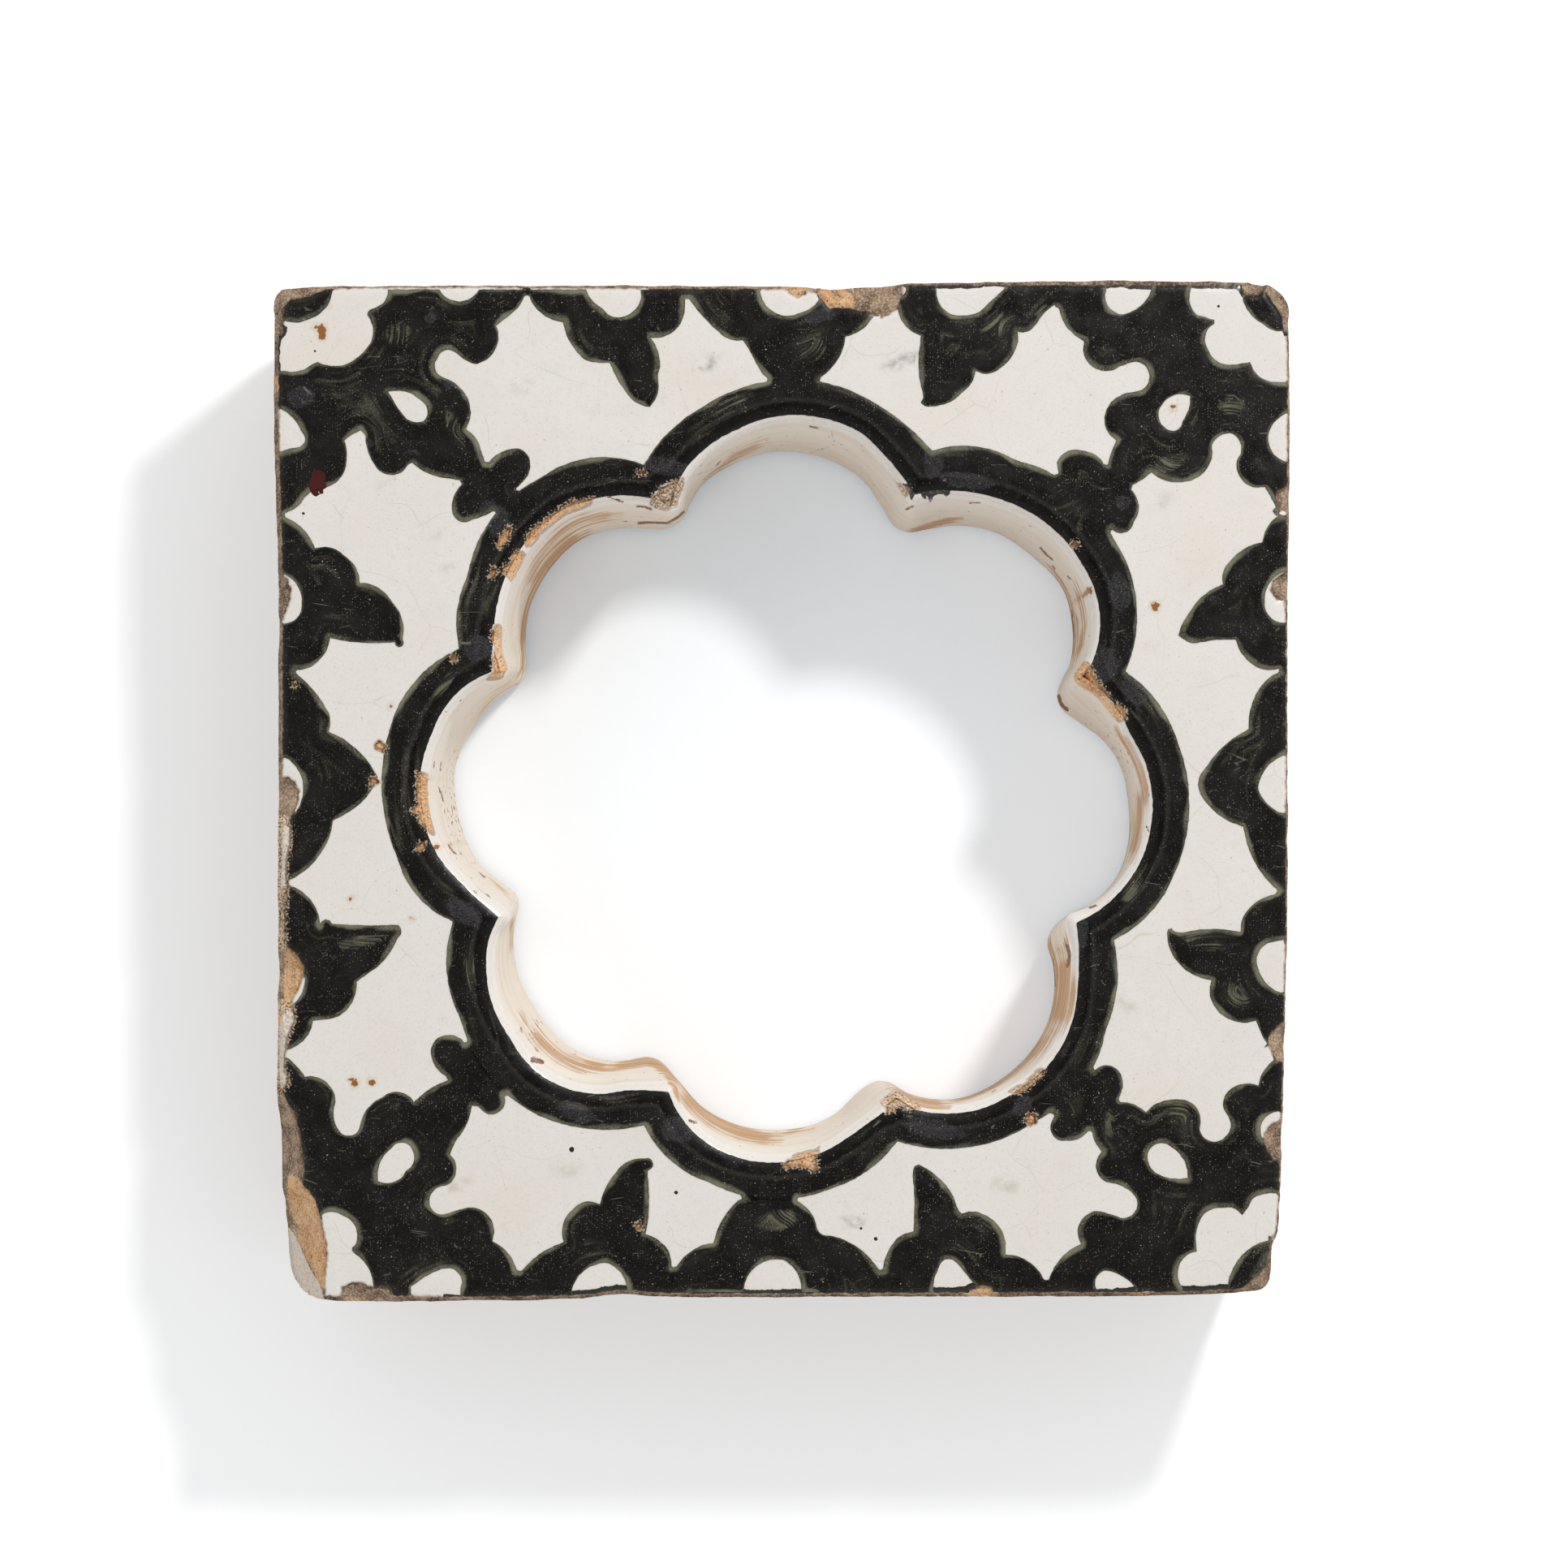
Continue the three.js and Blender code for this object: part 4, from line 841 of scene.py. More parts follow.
class Look:
    """One material, its shader built from short calls; positions are in mm."""

    def __init__(self, name):
        self.material = bpy.data.materials.new(name)
        self.material.use_nodes = True
        self.tree = self.material.node_tree
        self.shader = self.tree.nodes["Principled BSDF"]
        self.place = self.vector("SCALE", self.out(self.add("TexCoord"), "Object"), 1 / MM)

    def add(self, kind, inputs=None, **settings):
        """A new node with its settings, and values or other nodes' outputs at its inputs."""
        node = self.tree.nodes.new("ShaderNode" + kind)
        for key, setting in settings.items():
            setattr(node, key, setting)
        for socket, value in (inputs or {}).items():
            self.put(node, socket, value)
        return node

    def out(self, node, output=0):
        return Value(self, node.outputs[output])

    def put(self, node, socket, value):
        if isinstance(value, Value):
            self.tree.links.new(value.socket, node.inputs[socket])
        elif isinstance(value, tuple) and node.inputs[socket].type == "RGBA":
            node.inputs[socket].default_value = (*value, 1)
        else:
            node.inputs[socket].default_value = value

    def math(self, operation, a, b):
        return self.out(self.add("Math", {0: a, 1: b}, operation=operation))

    def largest(self, first, *others):
        for other in others:
            first = self.math("MAXIMUM", first, other)
        return first

    def vector(self, operation, a, b):
        second = "Scale" if operation == "SCALE" else 1
        node = self.add("VectorMath", {0: a, second: b}, operation=operation)
        return self.out(node, "Value" if operation in ("DOT_PRODUCT", "LENGTH") else "Vector")

    def stretched(self, x, y, z):
        return self.vector("MULTIPLY", self.place, (x, y, z))

    def combined(self, x=0.0, y=0.0, z=0.0):
        return self.out(self.add("CombineXYZ", {0: x, 1: y, 2: z}))

    def noise(self, size, detail=2.0, vector=None, seed=0.0, output="Fac"):
        moved = self.vector("ADD", vector or self.place, (seed * 37.0, seed * 11.0, seed * 5.0))
        inputs = {"Vector": moved, "Scale": 1 / size, "Detail": detail}
        return self.out(self.add("TexNoise", inputs), output)

    def cells(self, size, vector=None, seed=0.0, **settings):
        moved = self.vector("ADD", vector or self.place, (seed * 31.0, seed * 13.0, seed * 7.0))
        return self.add("TexVoronoi", {"Vector": moved, "Scale": 1 / size}, **settings)

    def cell_edges(self, size, vector, seed=0.0):
        node = self.cells(size, vector, seed, feature="DISTANCE_TO_EDGE")
        return self.out(node, "Distance")

    def chosen(self, cells, share):
        """One in a share of the cells, and a second random value of each."""
        split = self.add("SeparateColor", {0: self.out(cells, "Color")})
        return self.ramp(self.out(split), 1 - share, 1.01 - share), self.out(split, 1)

    def attribute(self, name):
        return self.out(self.add("Attribute", attribute_name=name), "Fac")

    def ramp(self, value, low, high, start=0.0, end=1.0):
        """Smooth passage from start to end while the value goes from low to high."""
        if low > high:
            low, high, start, end = high, low, end, start
        inputs = {"Value": value, "From Min": low, "From Max": high, "To Min": start, "To Max": end}
        node = self.add("MapRange", inputs, interpolation_type="SMOOTHSTEP")
        return self.out(node, "Result")

    def mix(self, share, a, b):
        return self.out(self.add("Mix", {0: share, 6: a, 7: b}, data_type="RGBA"), 2)

    def cover(self, share, colour):
        """Lays a share of a colour over the colour so far."""
        self.colour = self.mix(share, self.colour, colour)

    def height(self):
        return self.out(self.add("SeparateXYZ", {0: self.place}), "Z")

    def round_wall(self, along, up):
        """Place on the opening's wall, measured along its loop and up, in lumps of two sizes."""
        return self.combined(self.attribute("along") / along, self.height() / up)

    def contour(self, size, across):
        """Place on the face in lumps of a size, moved on by a value that follows outlines."""
        return self.vector("ADD", self.stretched(1 / size, 1 / size, 0), self.combined(z=across))

    def specks(self, size, radius, share, seed, dimensions="2D"):
        """Round specks in a share of the cells of a size."""
        cells = self.cells(size, seed=seed, voronoi_dimensions=dimensions)
        dots = self.ramp(self.out(cells, "Distance"), radius / size, radius / size * 0.5)
        chosen, random = self.chosen(cells, share)
        return dots * chosen * self.ramp(random, 0.0, 1.0, 0.15, 1.0)

    def scratches(self, turn, long, wide, share, seed):
        """Short straight scratches, all at one turn, in a share of long thin cells."""
        cos = math.cos(math.radians(turn))
        sin = math.sin(math.radians(turn))
        along = self.vector("DOT_PRODUCT", self.place, (cos, sin, 0)) / long
        aside = self.vector("DOT_PRODUCT", self.place, (-sin, cos, 0)) / wide
        cells = self.cells(1.0, self.combined(along, aside), seed, voronoi_dimensions="2D")
        return self.ramp(self.out(cells, "Distance"), 0.30, 0.18) * self.chosen(cells, share)[0]

    def bump(self, height, distance):
        return self.out(self.add("Bump", {"Height": height, "Distance": distance * MM}))

    def finish(self, colour, roughness, specular, normal=None):
        self.put(self.shader, "Base Color", colour)
        self.put(self.shader, "Roughness", roughness)
        self.put(self.shader, "Specular IOR Level", specular)
        if normal:
            self.put(self.shader, "Normal", normal)
        return self.material


def glaze_look():
    """Crazed white glaze with brushed tan and brown marks on the opening's wall."""
    look = Look("white_glaze_look")
    noise, ramp, value, cover = look.noise, look.ramp, look.attribute, look.cover
    look.colour = look.mix(ramp(noise(24, 3), 0.42, 0.75, 0.0, 0.55), CREAM, WARM_CREAM)
    cover(ramp(noise(3.2, 4, seed=1), 0.5, 0.8, 0.0, 0.35), (0.70, 0.655, 0.60))
    # the wall: a warmer coat with brushed tan streaks, brown marks and dashes
    height = look.height()
    wall = ramp(height, WALL_TOP + 1.5, WALL_TOP - 3)
    low = ramp(height, WALL_TOP - 4, 2.0)
    warm = look.mix(low, (0.820, 0.765, 0.695), (0.790, 0.720, 0.630))
    cloud = noise(1.0, 4, look.round_wall(30, 7), seed=3)
    warm = look.mix(ramp(cloud, 0.45, 0.75, 0.0, 0.55), warm, (0.700, 0.575, 0.425))
    cover(wall * 0.95, warm)
    brush = noise(1.0, 5, look.round_wall(24, 2.6), seed=2)
    fine = noise(1.0, 3, look.round_wall(34, 0.75), seed=12)
    stain = value("tan") + low * 0.10
    stroked = stain * 0.75 + (brush * 1.3 + fine * 0.7) * 1.5
    streaks = ramp(stroked, 1.75, 2.12) * ramp(stain, 0.05, 0.30)
    tan = look.mix(ramp(fine, 0.35, 0.65), (0.400, 0.190, 0.066), (0.600, 0.360, 0.165))
    cover(streaks * 0.90, tan)
    cover(ramp(fine, 0.40, 0.30) * streaks * 0.6, (0.21, 0.095, 0.038))
    dash = noise(1.0, 1, look.round_wall(1.3, 1.8), seed=4) + value("dashed") * 0.10
    cover(ramp(dash, 0.735, 0.755) * wall, (0.20, 0.090, 0.038))
    torn = (noise(0.5, 3, seed=16) - 0.5) * 0.5
    brown = value("brown") + torn * 1.3 + (noise(1.6, 2, seed=19) - 0.55) * 0.45
    rust = look.mix(noise(0.7, 3, seed=17), (0.09, 0.035, 0.014), (0.30, 0.140, 0.055))
    cover(ramp(brown, 0.02, 0.10), rust)
    cover(ramp(value("teeth") + torn, -0.05, 0.05), (0.012, 0.010, 0.008))
    # crazing, pinholes, freckles, iron spots and dark specks
    bend = look.vector("SCALE", noise(14, 1, output="Color"), 9.0)
    craze = look.cell_edges(21, look.vector("ADD", look.place, bend))
    craze = ramp(craze, 0.0050, 0.0012) * ramp(noise(11, 1, seed=5), 0.44, 0.58)
    cover(craze * 0.22, (0.42, 0.31, 0.20))
    flat = ramp(height, WALL_TOP + 1.0, WALL_TOP + 2.5)
    holes = look.specks(2.1, 0.11, 0.45, 6) * flat
    cover(holes * 0.55, (0.22, 0.15, 0.09))
    cover(look.specks(9, 0.26, 0.4, 7) * flat * 0.5, (0.45, 0.28, 0.14))
    cover(ramp(noise(0.45, 3, seed=14), 0.50, 0.70) * flat * 0.22, (0.60, 0.50, 0.39))
    fray = (noise(0.8, 3, seed=8) - 0.5) * 1.7
    spot = value("iron") + fray
    cover(ramp(spot, -0.9, 0.1, 0.0, 0.35), (0.55, 0.36, 0.18))
    cover(ramp(spot, -0.08, 0.12), (0.30, 0.115, 0.035))
    cover(ramp(value("speck") + fray * 0.2, -0.06, 0.06), (0.025, 0.018, 0.012))
    # dirt at broken edges, bare clay and the dark border that the brush left along the edges
    cover(ramp(value("edge") + fray * 0.25, 0.45, 0.05, 0.0, 0.75), (0.34, 0.24, 0.16))
    bare = ramp(value("bare") + torn * 1.6, -0.04, 0.10)
    shade = value("shade")
    cover(bare, sandy(look, clay_colour(look, shade), shade))
    cover(ramp(value("border") + fray * 0.35, -0.1, 0.1), (0.016, 0.014, 0.011))
    cover(ramp(value("purple") + torn * 0.6, -0.04, 0.04), PURPLE)
    cloudy = value("stain") * ramp(noise(2.6, 3, seed=20), 0.35, 0.70)
    cover(cloudy * 0.55, (0.50, 0.46, 0.35))
    smudge = value("smudge") * ramp(noise(1.6, 4, seed=9), 0.35, 0.75)
    cover(smudge * 0.75, (0.20, 0.20, 0.16))
    relief = noise(1.4, 3, seed=10) + holes * -2.0 + noise(0.4, 3, seed=18) * bare * 6.0
    rough = ramp(noise(6, 3, seed=11), 0.3, 0.7, 0.16, 0.30) + wall * 0.50
    return look.finish(look.colour, rough, 0.5, look.bump(relief, 0.022))


def paint_look():
    """Brushed near-black paint, olive where it is thin, with dust, scratches, rubbed places, and
    painted shade and a highlight at the rim.
    """
    look = Look("dark_paint_look")
    noise, ramp, value, cover = look.noise, look.ramp, look.attribute, look.cover
    depth = value("halo")
    band = noise(9, 2, seed=1)
    wobble = (noise(1.1, 3, seed=2) - 0.5) * 0.35
    share = (depth + wobble) / ramp(band, 0.36, 0.64, 0.34, 1.25)
    halo = ramp(share, 1.15, 0.40) * ramp(band, 0.32, 0.60, 0.45, 1.0)
    grain = noise(0.35, 3, seed=16)
    look.colour = look.mix(ramp(grain, 0.35, 0.70), (0.0038, 0.0033, 0.0029),
                           (0.0115, 0.0103, 0.0091))
    cover(ramp(noise(7, 4, seed=3), 0.40, 0.70, 0.0, 0.6), (0.0155, 0.0143, 0.0128))
    olive = look.mix(ramp(noise(7, 2, seed=4), 0.38, 0.66), (0.046, 0.043, 0.025),
                     (0.175, 0.166, 0.108))
    olive = look.mix(ramp(grain, 0.40, 0.66, 0.0, 0.45), olive, (0.22, 0.215, 0.165))
    # painted shade where the band rolls over into the opening, and a painted highlight line beside
    # it
    rim_shading_reach = value("inner") + wobble * 2.0
    inner = ramp(rim_shading_reach, 2.9, 2.1)
    cover(ramp(rim_shading_reach, 2.0, 2.6) * ramp(rim_shading_reach, 3.8, 2.8) * 0.45, (0.0400, 0.0360, 0.0310))
    cover(inner * 0.9, (0.0020, 0.0010, 0.0007))
    # strokes that follow the outline, seen where the brush was drier
    stroke = noise(1.0, 3, look.contour(14, depth * 0.9), seed=5)
    strokes = ramp(stroke, 0.48, 0.74) * ramp(noise(11, 2, seed=6), 0.50, 0.64)
    strokes = strokes * ramp(grain, 0.30, 0.60, 0.35, 1.0)
    hairs = ramp(noise(1.0, 2, look.contour(9, depth * 2.6), seed=25), 0.45, 0.62, 0.06, 1.0)
    ragged = (noise(2.2, 3, seed=26) - 0.5) * 1.2
    thin = value("brushed")
    brushed = ramp(thin + ragged, 0.15, 0.75) * hairs * ramp(thin, 0.0, 0.25)
    cover(look.largest(strokes * 0.45, brushed * 0.72), olive)
    cover(halo, olive)
    cover(ramp(depth, 0.18, 0.02, 0.0, 0.45), (0.028, 0.030, 0.018))
    # dust, scratches and rubbed patches
    dust = [look.specks(*sizes) for sizes in ((0.50, 0.08, 0.34, 7), (1.9, 0.13, 0.13, 8),
                                              (8.0, 0.20, 0.30, 24))]
    dust += [look.scratches(turn, long, 0.26, 0.017, seed) * 0.28
             for turn, long, seed in ((25, 2.2, 21), (-50, 1.2, 22), (80, 1.6, 23))]
    dust = look.largest(*dust) * ramp(noise(6, 3, seed=9), 0.36, 0.60, 0.15, 1.0)
    # less dust on the strip of painted shade
    dust = dust * (1.0 - inner * 0.6)
    worn = value("rubbed") + (noise(1.5, 4, seed=10) - 0.5)
    rubbed = ramp(worn, 0.25, 0.55) * ramp(noise(0.28, 2, seed=15), 0.40, 0.62, 0.15, 1.0)
    cover(rubbed * 0.7, (0.060, 0.057, 0.064))
    thread = look.cell_edges(7, look.stretched(0.22, 1.4, 1.0), 11)
    thread = ramp(thread, 0.012, 0.003) * ramp(noise(5, 2, seed=12), 0.60, 0.70)
    cover(thread * 0.35, (0.33, 0.32, 0.28))
    cover(dust * 0.55, (0.55, 0.54, 0.48))
    cover(ramp(value("edge") + wobble * 0.8, 0.30, 0.0, 0.0, 0.7), (0.11, 0.075, 0.045))
    near_chip = value("near_chip") + wobble * 0.8
    crumb = noise(0.42, 3, seed=18) + ramp(near_chip, 1.3, 0.0, 0.0, 0.22)
    cover(ramp(crumb, 0.68, 0.76), (0.40, 0.30, 0.21))
    cover(ramp(value("purple"), -0.05, 0.05), PURPLE)
    relief = noise(0.9, 3, seed=13) + stroke * 0.8
    rough = ramp(noise(4, 3, seed=14), 0.3, 0.7, 0.24, 0.42)
    return look.finish(look.colour, rough, 0.22, look.bump(relief, 0.03))


def clay_colour(look, fresh):
    """Sandy fired clay, from grey-brown where fresh is 0 to orange where it is 1."""
    noise, ramp, mix = look.noise, look.ramp, look.mix
    tone = ramp(noise(6, 4, seed=1), 0.35, 0.65)
    grey = mix(tone, (0.32, 0.215, 0.142), (0.54, 0.400, 0.285))
    orange = mix(tone, (0.58, 0.275, 0.105), (0.76, 0.455, 0.225))
    cloud = ramp(noise(1.7, 4, seed=27), 0.42, 0.66)
    orange = mix(cloud * 0.55, orange, (0.80, 0.56, 0.33))
    return mix(ramp(fresh + (noise(2.4, 3, seed=2) - 0.5), 0.25, 0.75), grey, orange)


def sandy(look, colour, fresh, amount=1.0):
    """Pale sand, less of it in fresh clay, and dark pits."""
    sand = look.noise(0.42, 1, seed=4)
    share = look.ramp(sand, 0.52, 0.60) * look.ramp(fresh, 0.3, 0.9, 0.72, 0.30) * amount
    colour = look.mix(share, colour, (0.85, 0.71, 0.52))
    pits = look.ramp(sand, 0.44, 0.36, 0.0, 0.80) * amount * look.ramp(fresh, 0.3, 0.9, 1.0, 0.45)
    colour = look.mix(pits, colour, (0.100, 0.055, 0.030))
    return look.mix(look.specks(0.62, 0.22, 0.42, 5, "3D") * amount, colour,
                    (0.030, 0.021, 0.015))


def clay_look():
    """Fired clay: worn and mottled outside, sandy and rough where it broke."""
    look = Look("clay_look")
    noise, ramp, cover = look.noise, look.ramp, look.cover
    fresh, worn = (look.attribute(name) for name in ("fresh", "worn"))
    look.colour = clay_colour(look, fresh)
    tone = ramp(noise(3.0, 4, seed=21), 0.36, 0.64)
    cover(worn * 0.85, look.mix(tone, WORN_DARK, WORN_PALE))
    pale = look.attribute("pale") + (noise(1.8, 4, seed=3) - 0.5) * 0.9
    cover(ramp(pale, 0.40, 0.60, 0.0, 0.9), (0.75, 0.66, 0.58))
    amount = ramp(worn, 0.0, 1.0, 1.0, 0.38) * ramp(pale, 0.40, 0.60, 1.0, 0.45)
    relief = noise(0.5, 4, seed=6) + noise(2.0, 3, seed=7) * 1.5
    return look.finish(sandy(look, look.colour, fresh, amount), 0.92, 0.25,
                       look.bump(relief, 0.22))


glaze_material = glaze_look()
paint_material = paint_look()
clay_material = clay_look()


# White glaze

def ellipse_share(points, ellipses):
    """One in the middle of the nearest ellipse, falling to nothing at its edge."""
    share = np.zeros(len(points))
    for x, y, long, short, turn in ellipses:
        offset = points - on_face((x, y))
        cos = math.cos(math.radians(turn))
        sin = math.sin(math.radians(turn))
        along = (offset[:, 0] * cos + offset[:, 1] * sin) / long
        aside = (offset[:, 1] * cos - offset[:, 0] * sin) / short
        share = np.maximum(share, 1 - smoothstep(0.2, 1, np.sqrt(along ** 2 + aside ** 2)))
    return share


def spot_depth(points, spots):
    """Depth inside the nearest spot in mm, negative outside it."""
    depth = np.full(len(points), FAR)
    for x, y, radius in spots:
        away = np.linalg.norm(points - on_face((x, y)), axis=1)
        depth = np.maximum(depth, radius - away)
    return depth


def border_depth(points, edge_distance):
    """Depth inside the dark borders in mm, negative outside them."""
    depth = np.full(len(points), FAR)
    for start, end, width in BORDERS:
        a, b = on_face((start, end))
        length = np.linalg.norm(b - a)
        along = (b - a) / length
        share = (points - a) @ along
        beside = np.abs((points - a) @ np.array([-along[1], along[0]])) < BORDER_REACH
        narrow = width * (0.7 + 0.5 * wave(points, 9, 12))
        within = (share > 0) & (share < length) & beside
        depth = np.where(within, np.maximum(depth, narrow - edge_distance), depth)
    return depth


def lean_share(z):
    """Share of the foot's shift at a height."""
    return np.clip((WALL_TOP - z) / (WALL_TOP - LINING_FOOT), 0, 1.05)


def wall_heights():
    """Levels of the wall's rows, closer together near the rim."""
    close = np.arange(WALL_TOP, WALL_TOP - RIM_DEPTH, -RIM_ROW)
    return np.concatenate([close, np.linspace(close[-1], LINING_FOOT, LINING_ROWS)[1:]])


def apparent(points):
    """Where the camera's line of sight to each point crosses the face."""
    scale = VIEW_DISTANCE / (VIEW_DISTANCE + FACE - points[:, 2:3])
    return AXIS + (points[:, :2] - AXIS) * scale


def path_distance(points, path, reach):
    """Distance in mm to a path, exact up to a reach."""
    found = np.full(len(points), NOWHERE)
    near = np.nonzero(((points > path.min(0) - reach) & (points < path.max(0) + reach)).all(1))[0]
    for a, b in zip(path[:-1], path[1:]):
        found[near] = np.minimum(found[near], segment_distance(points[near], a, b))
    return found


def wall_marks(points):
    """Values of the wall's tan streaks, brown marks, dashes and teeth of paint at each point."""
    seen = apparent(points)
    tan = np.zeros(len(points))
    for strength, half, pixels in TAN_STREAKS:
        width = half * PIXEL
        path = on_face(pixels)
        away = path_distance(seen, path, 2.1 * width) / width
        to_end = np.minimum(np.linalg.norm(seen - path[0], axis=1),
                            np.linalg.norm(seen - path[-1], axis=1))
        taper = 0.45 + 0.55 * smoothstep(0, 3.0, to_end)
        tan = np.maximum(tan, strength * taper * (1 - smoothstep(0.2, 2.0, away)))
    brown = np.full(len(points), FAR)
    for half, pixels in BROWN_MARKS:
        brown = np.maximum(brown, half * PIXEL - path_distance(seen, on_face(pixels), MARK_REACH))
    dashed = [(x, y, across * PIXEL, up * PIXEL, turn) for x, y, across, up, turn in DASHED]
    bare = np.where(points[:, 2] > BARED_FOOT, -chip_distance(seen, MARK_REACH), FAR)
    return {"tan": tan, "brown": brown, "dashed": ellipse_share(seen, dashed), "bare": bare,
            "shade": chip_shade(seen, 0.8, 0.5)[0],
            "teeth": -least_signed([teeth_line], seen, MARK_REACH)[0],
            "purple": -least_signed([purple_line], seen, MARK_REACH)[0]}


def glaze_face():
    """Points and faces of the coat's flat part and rolled rim, finer at the spots."""
    spots = [(x, y) for x, y, _ in IRON_SPOTS + DARK_SPECKS] + FINE_PLACES
    fine = [grid(SPOT_GRID, p - SPOT_REACH, p + SPOT_REACH) for p in on_face(spots)]
    field = np.concatenate([grid(GLAZE_GRID)] + fine)
    on_coat = between(glaze_line, wall_line)
    field = field[on_coat(field)]
    keep = (glaze_line.distance(field) > GLAZE_CLEAR) & (wall_line.distance(field) > ROLL_CLEAR)
    keep &= chip_distance(field, 1.0) > CHIP_CLEAR
    rings = [wall_loop + wall_normals * inset for inset in ROLL_RINGS]
    flat, faces = fill([glaze_edge, wall_loop] + rings + chip_loops, field[keep],
                       lambda places: on_coat(places) & ~in_chip(places))
    top = glaze_height(flat)
    to_wall = wall_line.distance(flat)
    broken = smoothstep(-0.1, 0.3, -chip_distance(flat, 1.0)) * smoothstep(0.05, 0.5, to_wall)
    rough = 1 + 0.5 * wave(flat, 0.8, 44, 2)
    top -= BARED_DROP * broken * (to_wall < ROLL_STRIP + 0.05) * rough
    top[to_wall < ON_LINE] = WALL_TOP
    return np.column_stack([flat, top]), faces


def make_white_glaze():
    """One coat: the face, the rolled rim and the lining of the wall, broken at the chips."""
    face_points, faces = glaze_face()
    points = [face_points]
    count = len(wall_loop)
    levels = wall_heights()
    for number, z in enumerate(levels):
        row = np.column_stack([wall_loop, np.full(count, z)])
        relief = 0.10 * wave(row * (1 / 26, 1 / 26, 1 / 7), 1, 42) * smoothstep(0, 4, WALL_TOP - z)
        row[:, :2] += wall_lean * lean_share(z) + wall_normals * relief[:, None]
        points.append(row)
        if number:
            start = len(face_points) + number * count
            faces += strip(start - count, start, count)
    points, faces, first = weld(np.vstack(points), faces)
    outer, shell = closed_coat(points, points - point_normals(points, faces) * GLAZE, faces)
    length = passed_length(wall_loop)[:-1]
    along = length[nearest(plan_tree(wall_loop), face_points)]
    along = np.concatenate([along] + [length] * len(levels))[first]
    plan = np.tile(points[:, :2], (2, 1))
    on_top = np.tile(points[:, 2] > FACE_FOOT, 2)
    to_edge = glaze_line.distance(plan)
    edge = np.minimum(to_edge, np.maximum(chip_distance(plan, MARK_REACH), 0))
    values = {
        "edge": np.where(on_top, edge, MARK_REACH),
        "iron": spot_depth(plan, IRON_SPOTS),
        "speck": spot_depth(plan, DARK_SPECKS),
        "border": np.where(on_top, border_depth(plan, to_edge), FAR),
        "smudge": ellipse_share(plan, SMUDGES) * on_top,
        "stain": ellipse_share(plan, STAINS) * on_top,
        "along": np.tile(along, 2),
    }
    values.update({key: np.tile(data, 2) for key, data in wall_marks(points).items()})
    make_piece("glaze_coat", outer, shell, "white_glaze", glaze_material, values)


make_white_glaze()


# Dark ornament

def motif_loops():
    """Each motif's smoothed outlines, and which of their points touch another motif."""
    loops = {name: [smooth_loop(loop, 0.4, 40) for loop in flat_loops(name, FACE)]
             for name in MOTIFS}
    lines = {name: Outline(loops[name]) for name in MOTIFS}
    touching = {}
    for name in MOTIFS:
        points = np.concatenate(loops[name])
        touching[name] = np.zeros(len(points), bool)
        for other in MOTIFS:
            close = np.nonzero(lines[other].near(points, JOINT_REACH))[0]
            if other != name and len(close):
                touching[name][close] |= lines[other].distance(points[close]) < JOINT_REACH
    return loops, touching


motif_outlines, motif_touching = motif_loops()
all_loops = [loop for name in MOTIFS for loop in motif_outlines[name]]
all_points = np.concatenate(all_loops)
all_touching = np.concatenate([motif_touching[name] for name in MOTIFS])
at_edge = cad_glaze_line.distance(all_points) < AT_EDGE
at_edge |= opening_edge.distance(all_points) < AT_OPENING
ornament_line = Outline(all_loops, ~all_touching & ~at_edge)


def brushed_loops(name):
    """The motif's outlines, uneven, lapping over neighbours and out past the glaze's edge."""
    loops = []
    first = 0
    for number, loop in enumerate(motif_outlines[name]):
        near = motif_touching[name][first:first + len(loop)]
        first += len(loop)
        push = np.where(near, JOINT_OVERLAP, 0.0)
        push = np.where(cad_glaze_line.distance(loop) < AT_EDGE, EDGE_OVERSHOOT, push)
        push = push + 0.07 * wave(loop, 1.0, 50) + 0.06 * wave(loop, 4.0, 51)
        if number > 0 and Outline(motif_outlines[name][:1]).holds(loop[:1])[0]:
            push = -push
        loops.append(loop + outward(loop) * push[:, None])
    return loops


def make_motif(name, layer):
    """One painted motif: a thin coat that follows the glaze and thins out at its edges."""
    loops = brushed_loops(name)
    shape = Outline(loops)
    field = grid(PAINT_GRID, shape.low, shape.high)
    field = field[shape.holds(field)]
    field = field[(shape.distance(field) > CLEAR) & (glaze_line.distance(field) > CLEAR)]
    field = field[(chip_distance(field, 1.0) > CHIP_CLEAR) & glaze_line.holds(field)]
    loops += [loop for loop, line in zip(chip_loops, chip_lines)
              if (line.high > shape.low).all() and (line.low < shape.high).all()]
    if shape.near(glaze_edge, MARK_REACH).any():
        loops.append(glaze_edge)
    flat, faces = fill(loops, field, lambda places: (shape.holds(places)
                                                     & glaze_line.holds(places)
                                                     & ~in_chip(places)))
    halo = ornament_line.distance(flat)
    near_chip = np.maximum(chip_distance(flat, MARK_REACH), 0)
    edge = np.minimum(glaze_line.distance(flat), near_chip)
    inner = np.minimum(opening_edge.distance(flat), INNER_BAND)
    body = smoothstep(0, 0.9, np.minimum(halo, inner + 0.25))
    rise = PAINT_EDGE + PAINT_BODY * body * smoothstep(-0.2, 0.6, edge) + PAINT_STEP * layer
    ground = glaze_height(flat)
    points, shell = closed_coat(np.column_stack([flat, ground + rise]),
                                np.column_stack([flat, ground - PAINT_SUNK]), faces)
    values = {"near_chip": near_chip, "halo": halo, "edge": edge, "inner": inner,
              "purple": -least_signed([purple_line], flat, MARK_REACH)[0],
              "rubbed": ellipse_share(flat, RUBBED), "brushed": ellipse_share(flat, BRUSHED)}
    values = {key: np.tile(data, 2) for key, data in values.items()}
    make_piece(name.replace("painted_", "brushed_"), points, shell, name,
               paint_material, values)


for order, motif in enumerate(MOTIFS):
    make_motif(motif, order % PAINT_LAYERS)


# Clay body

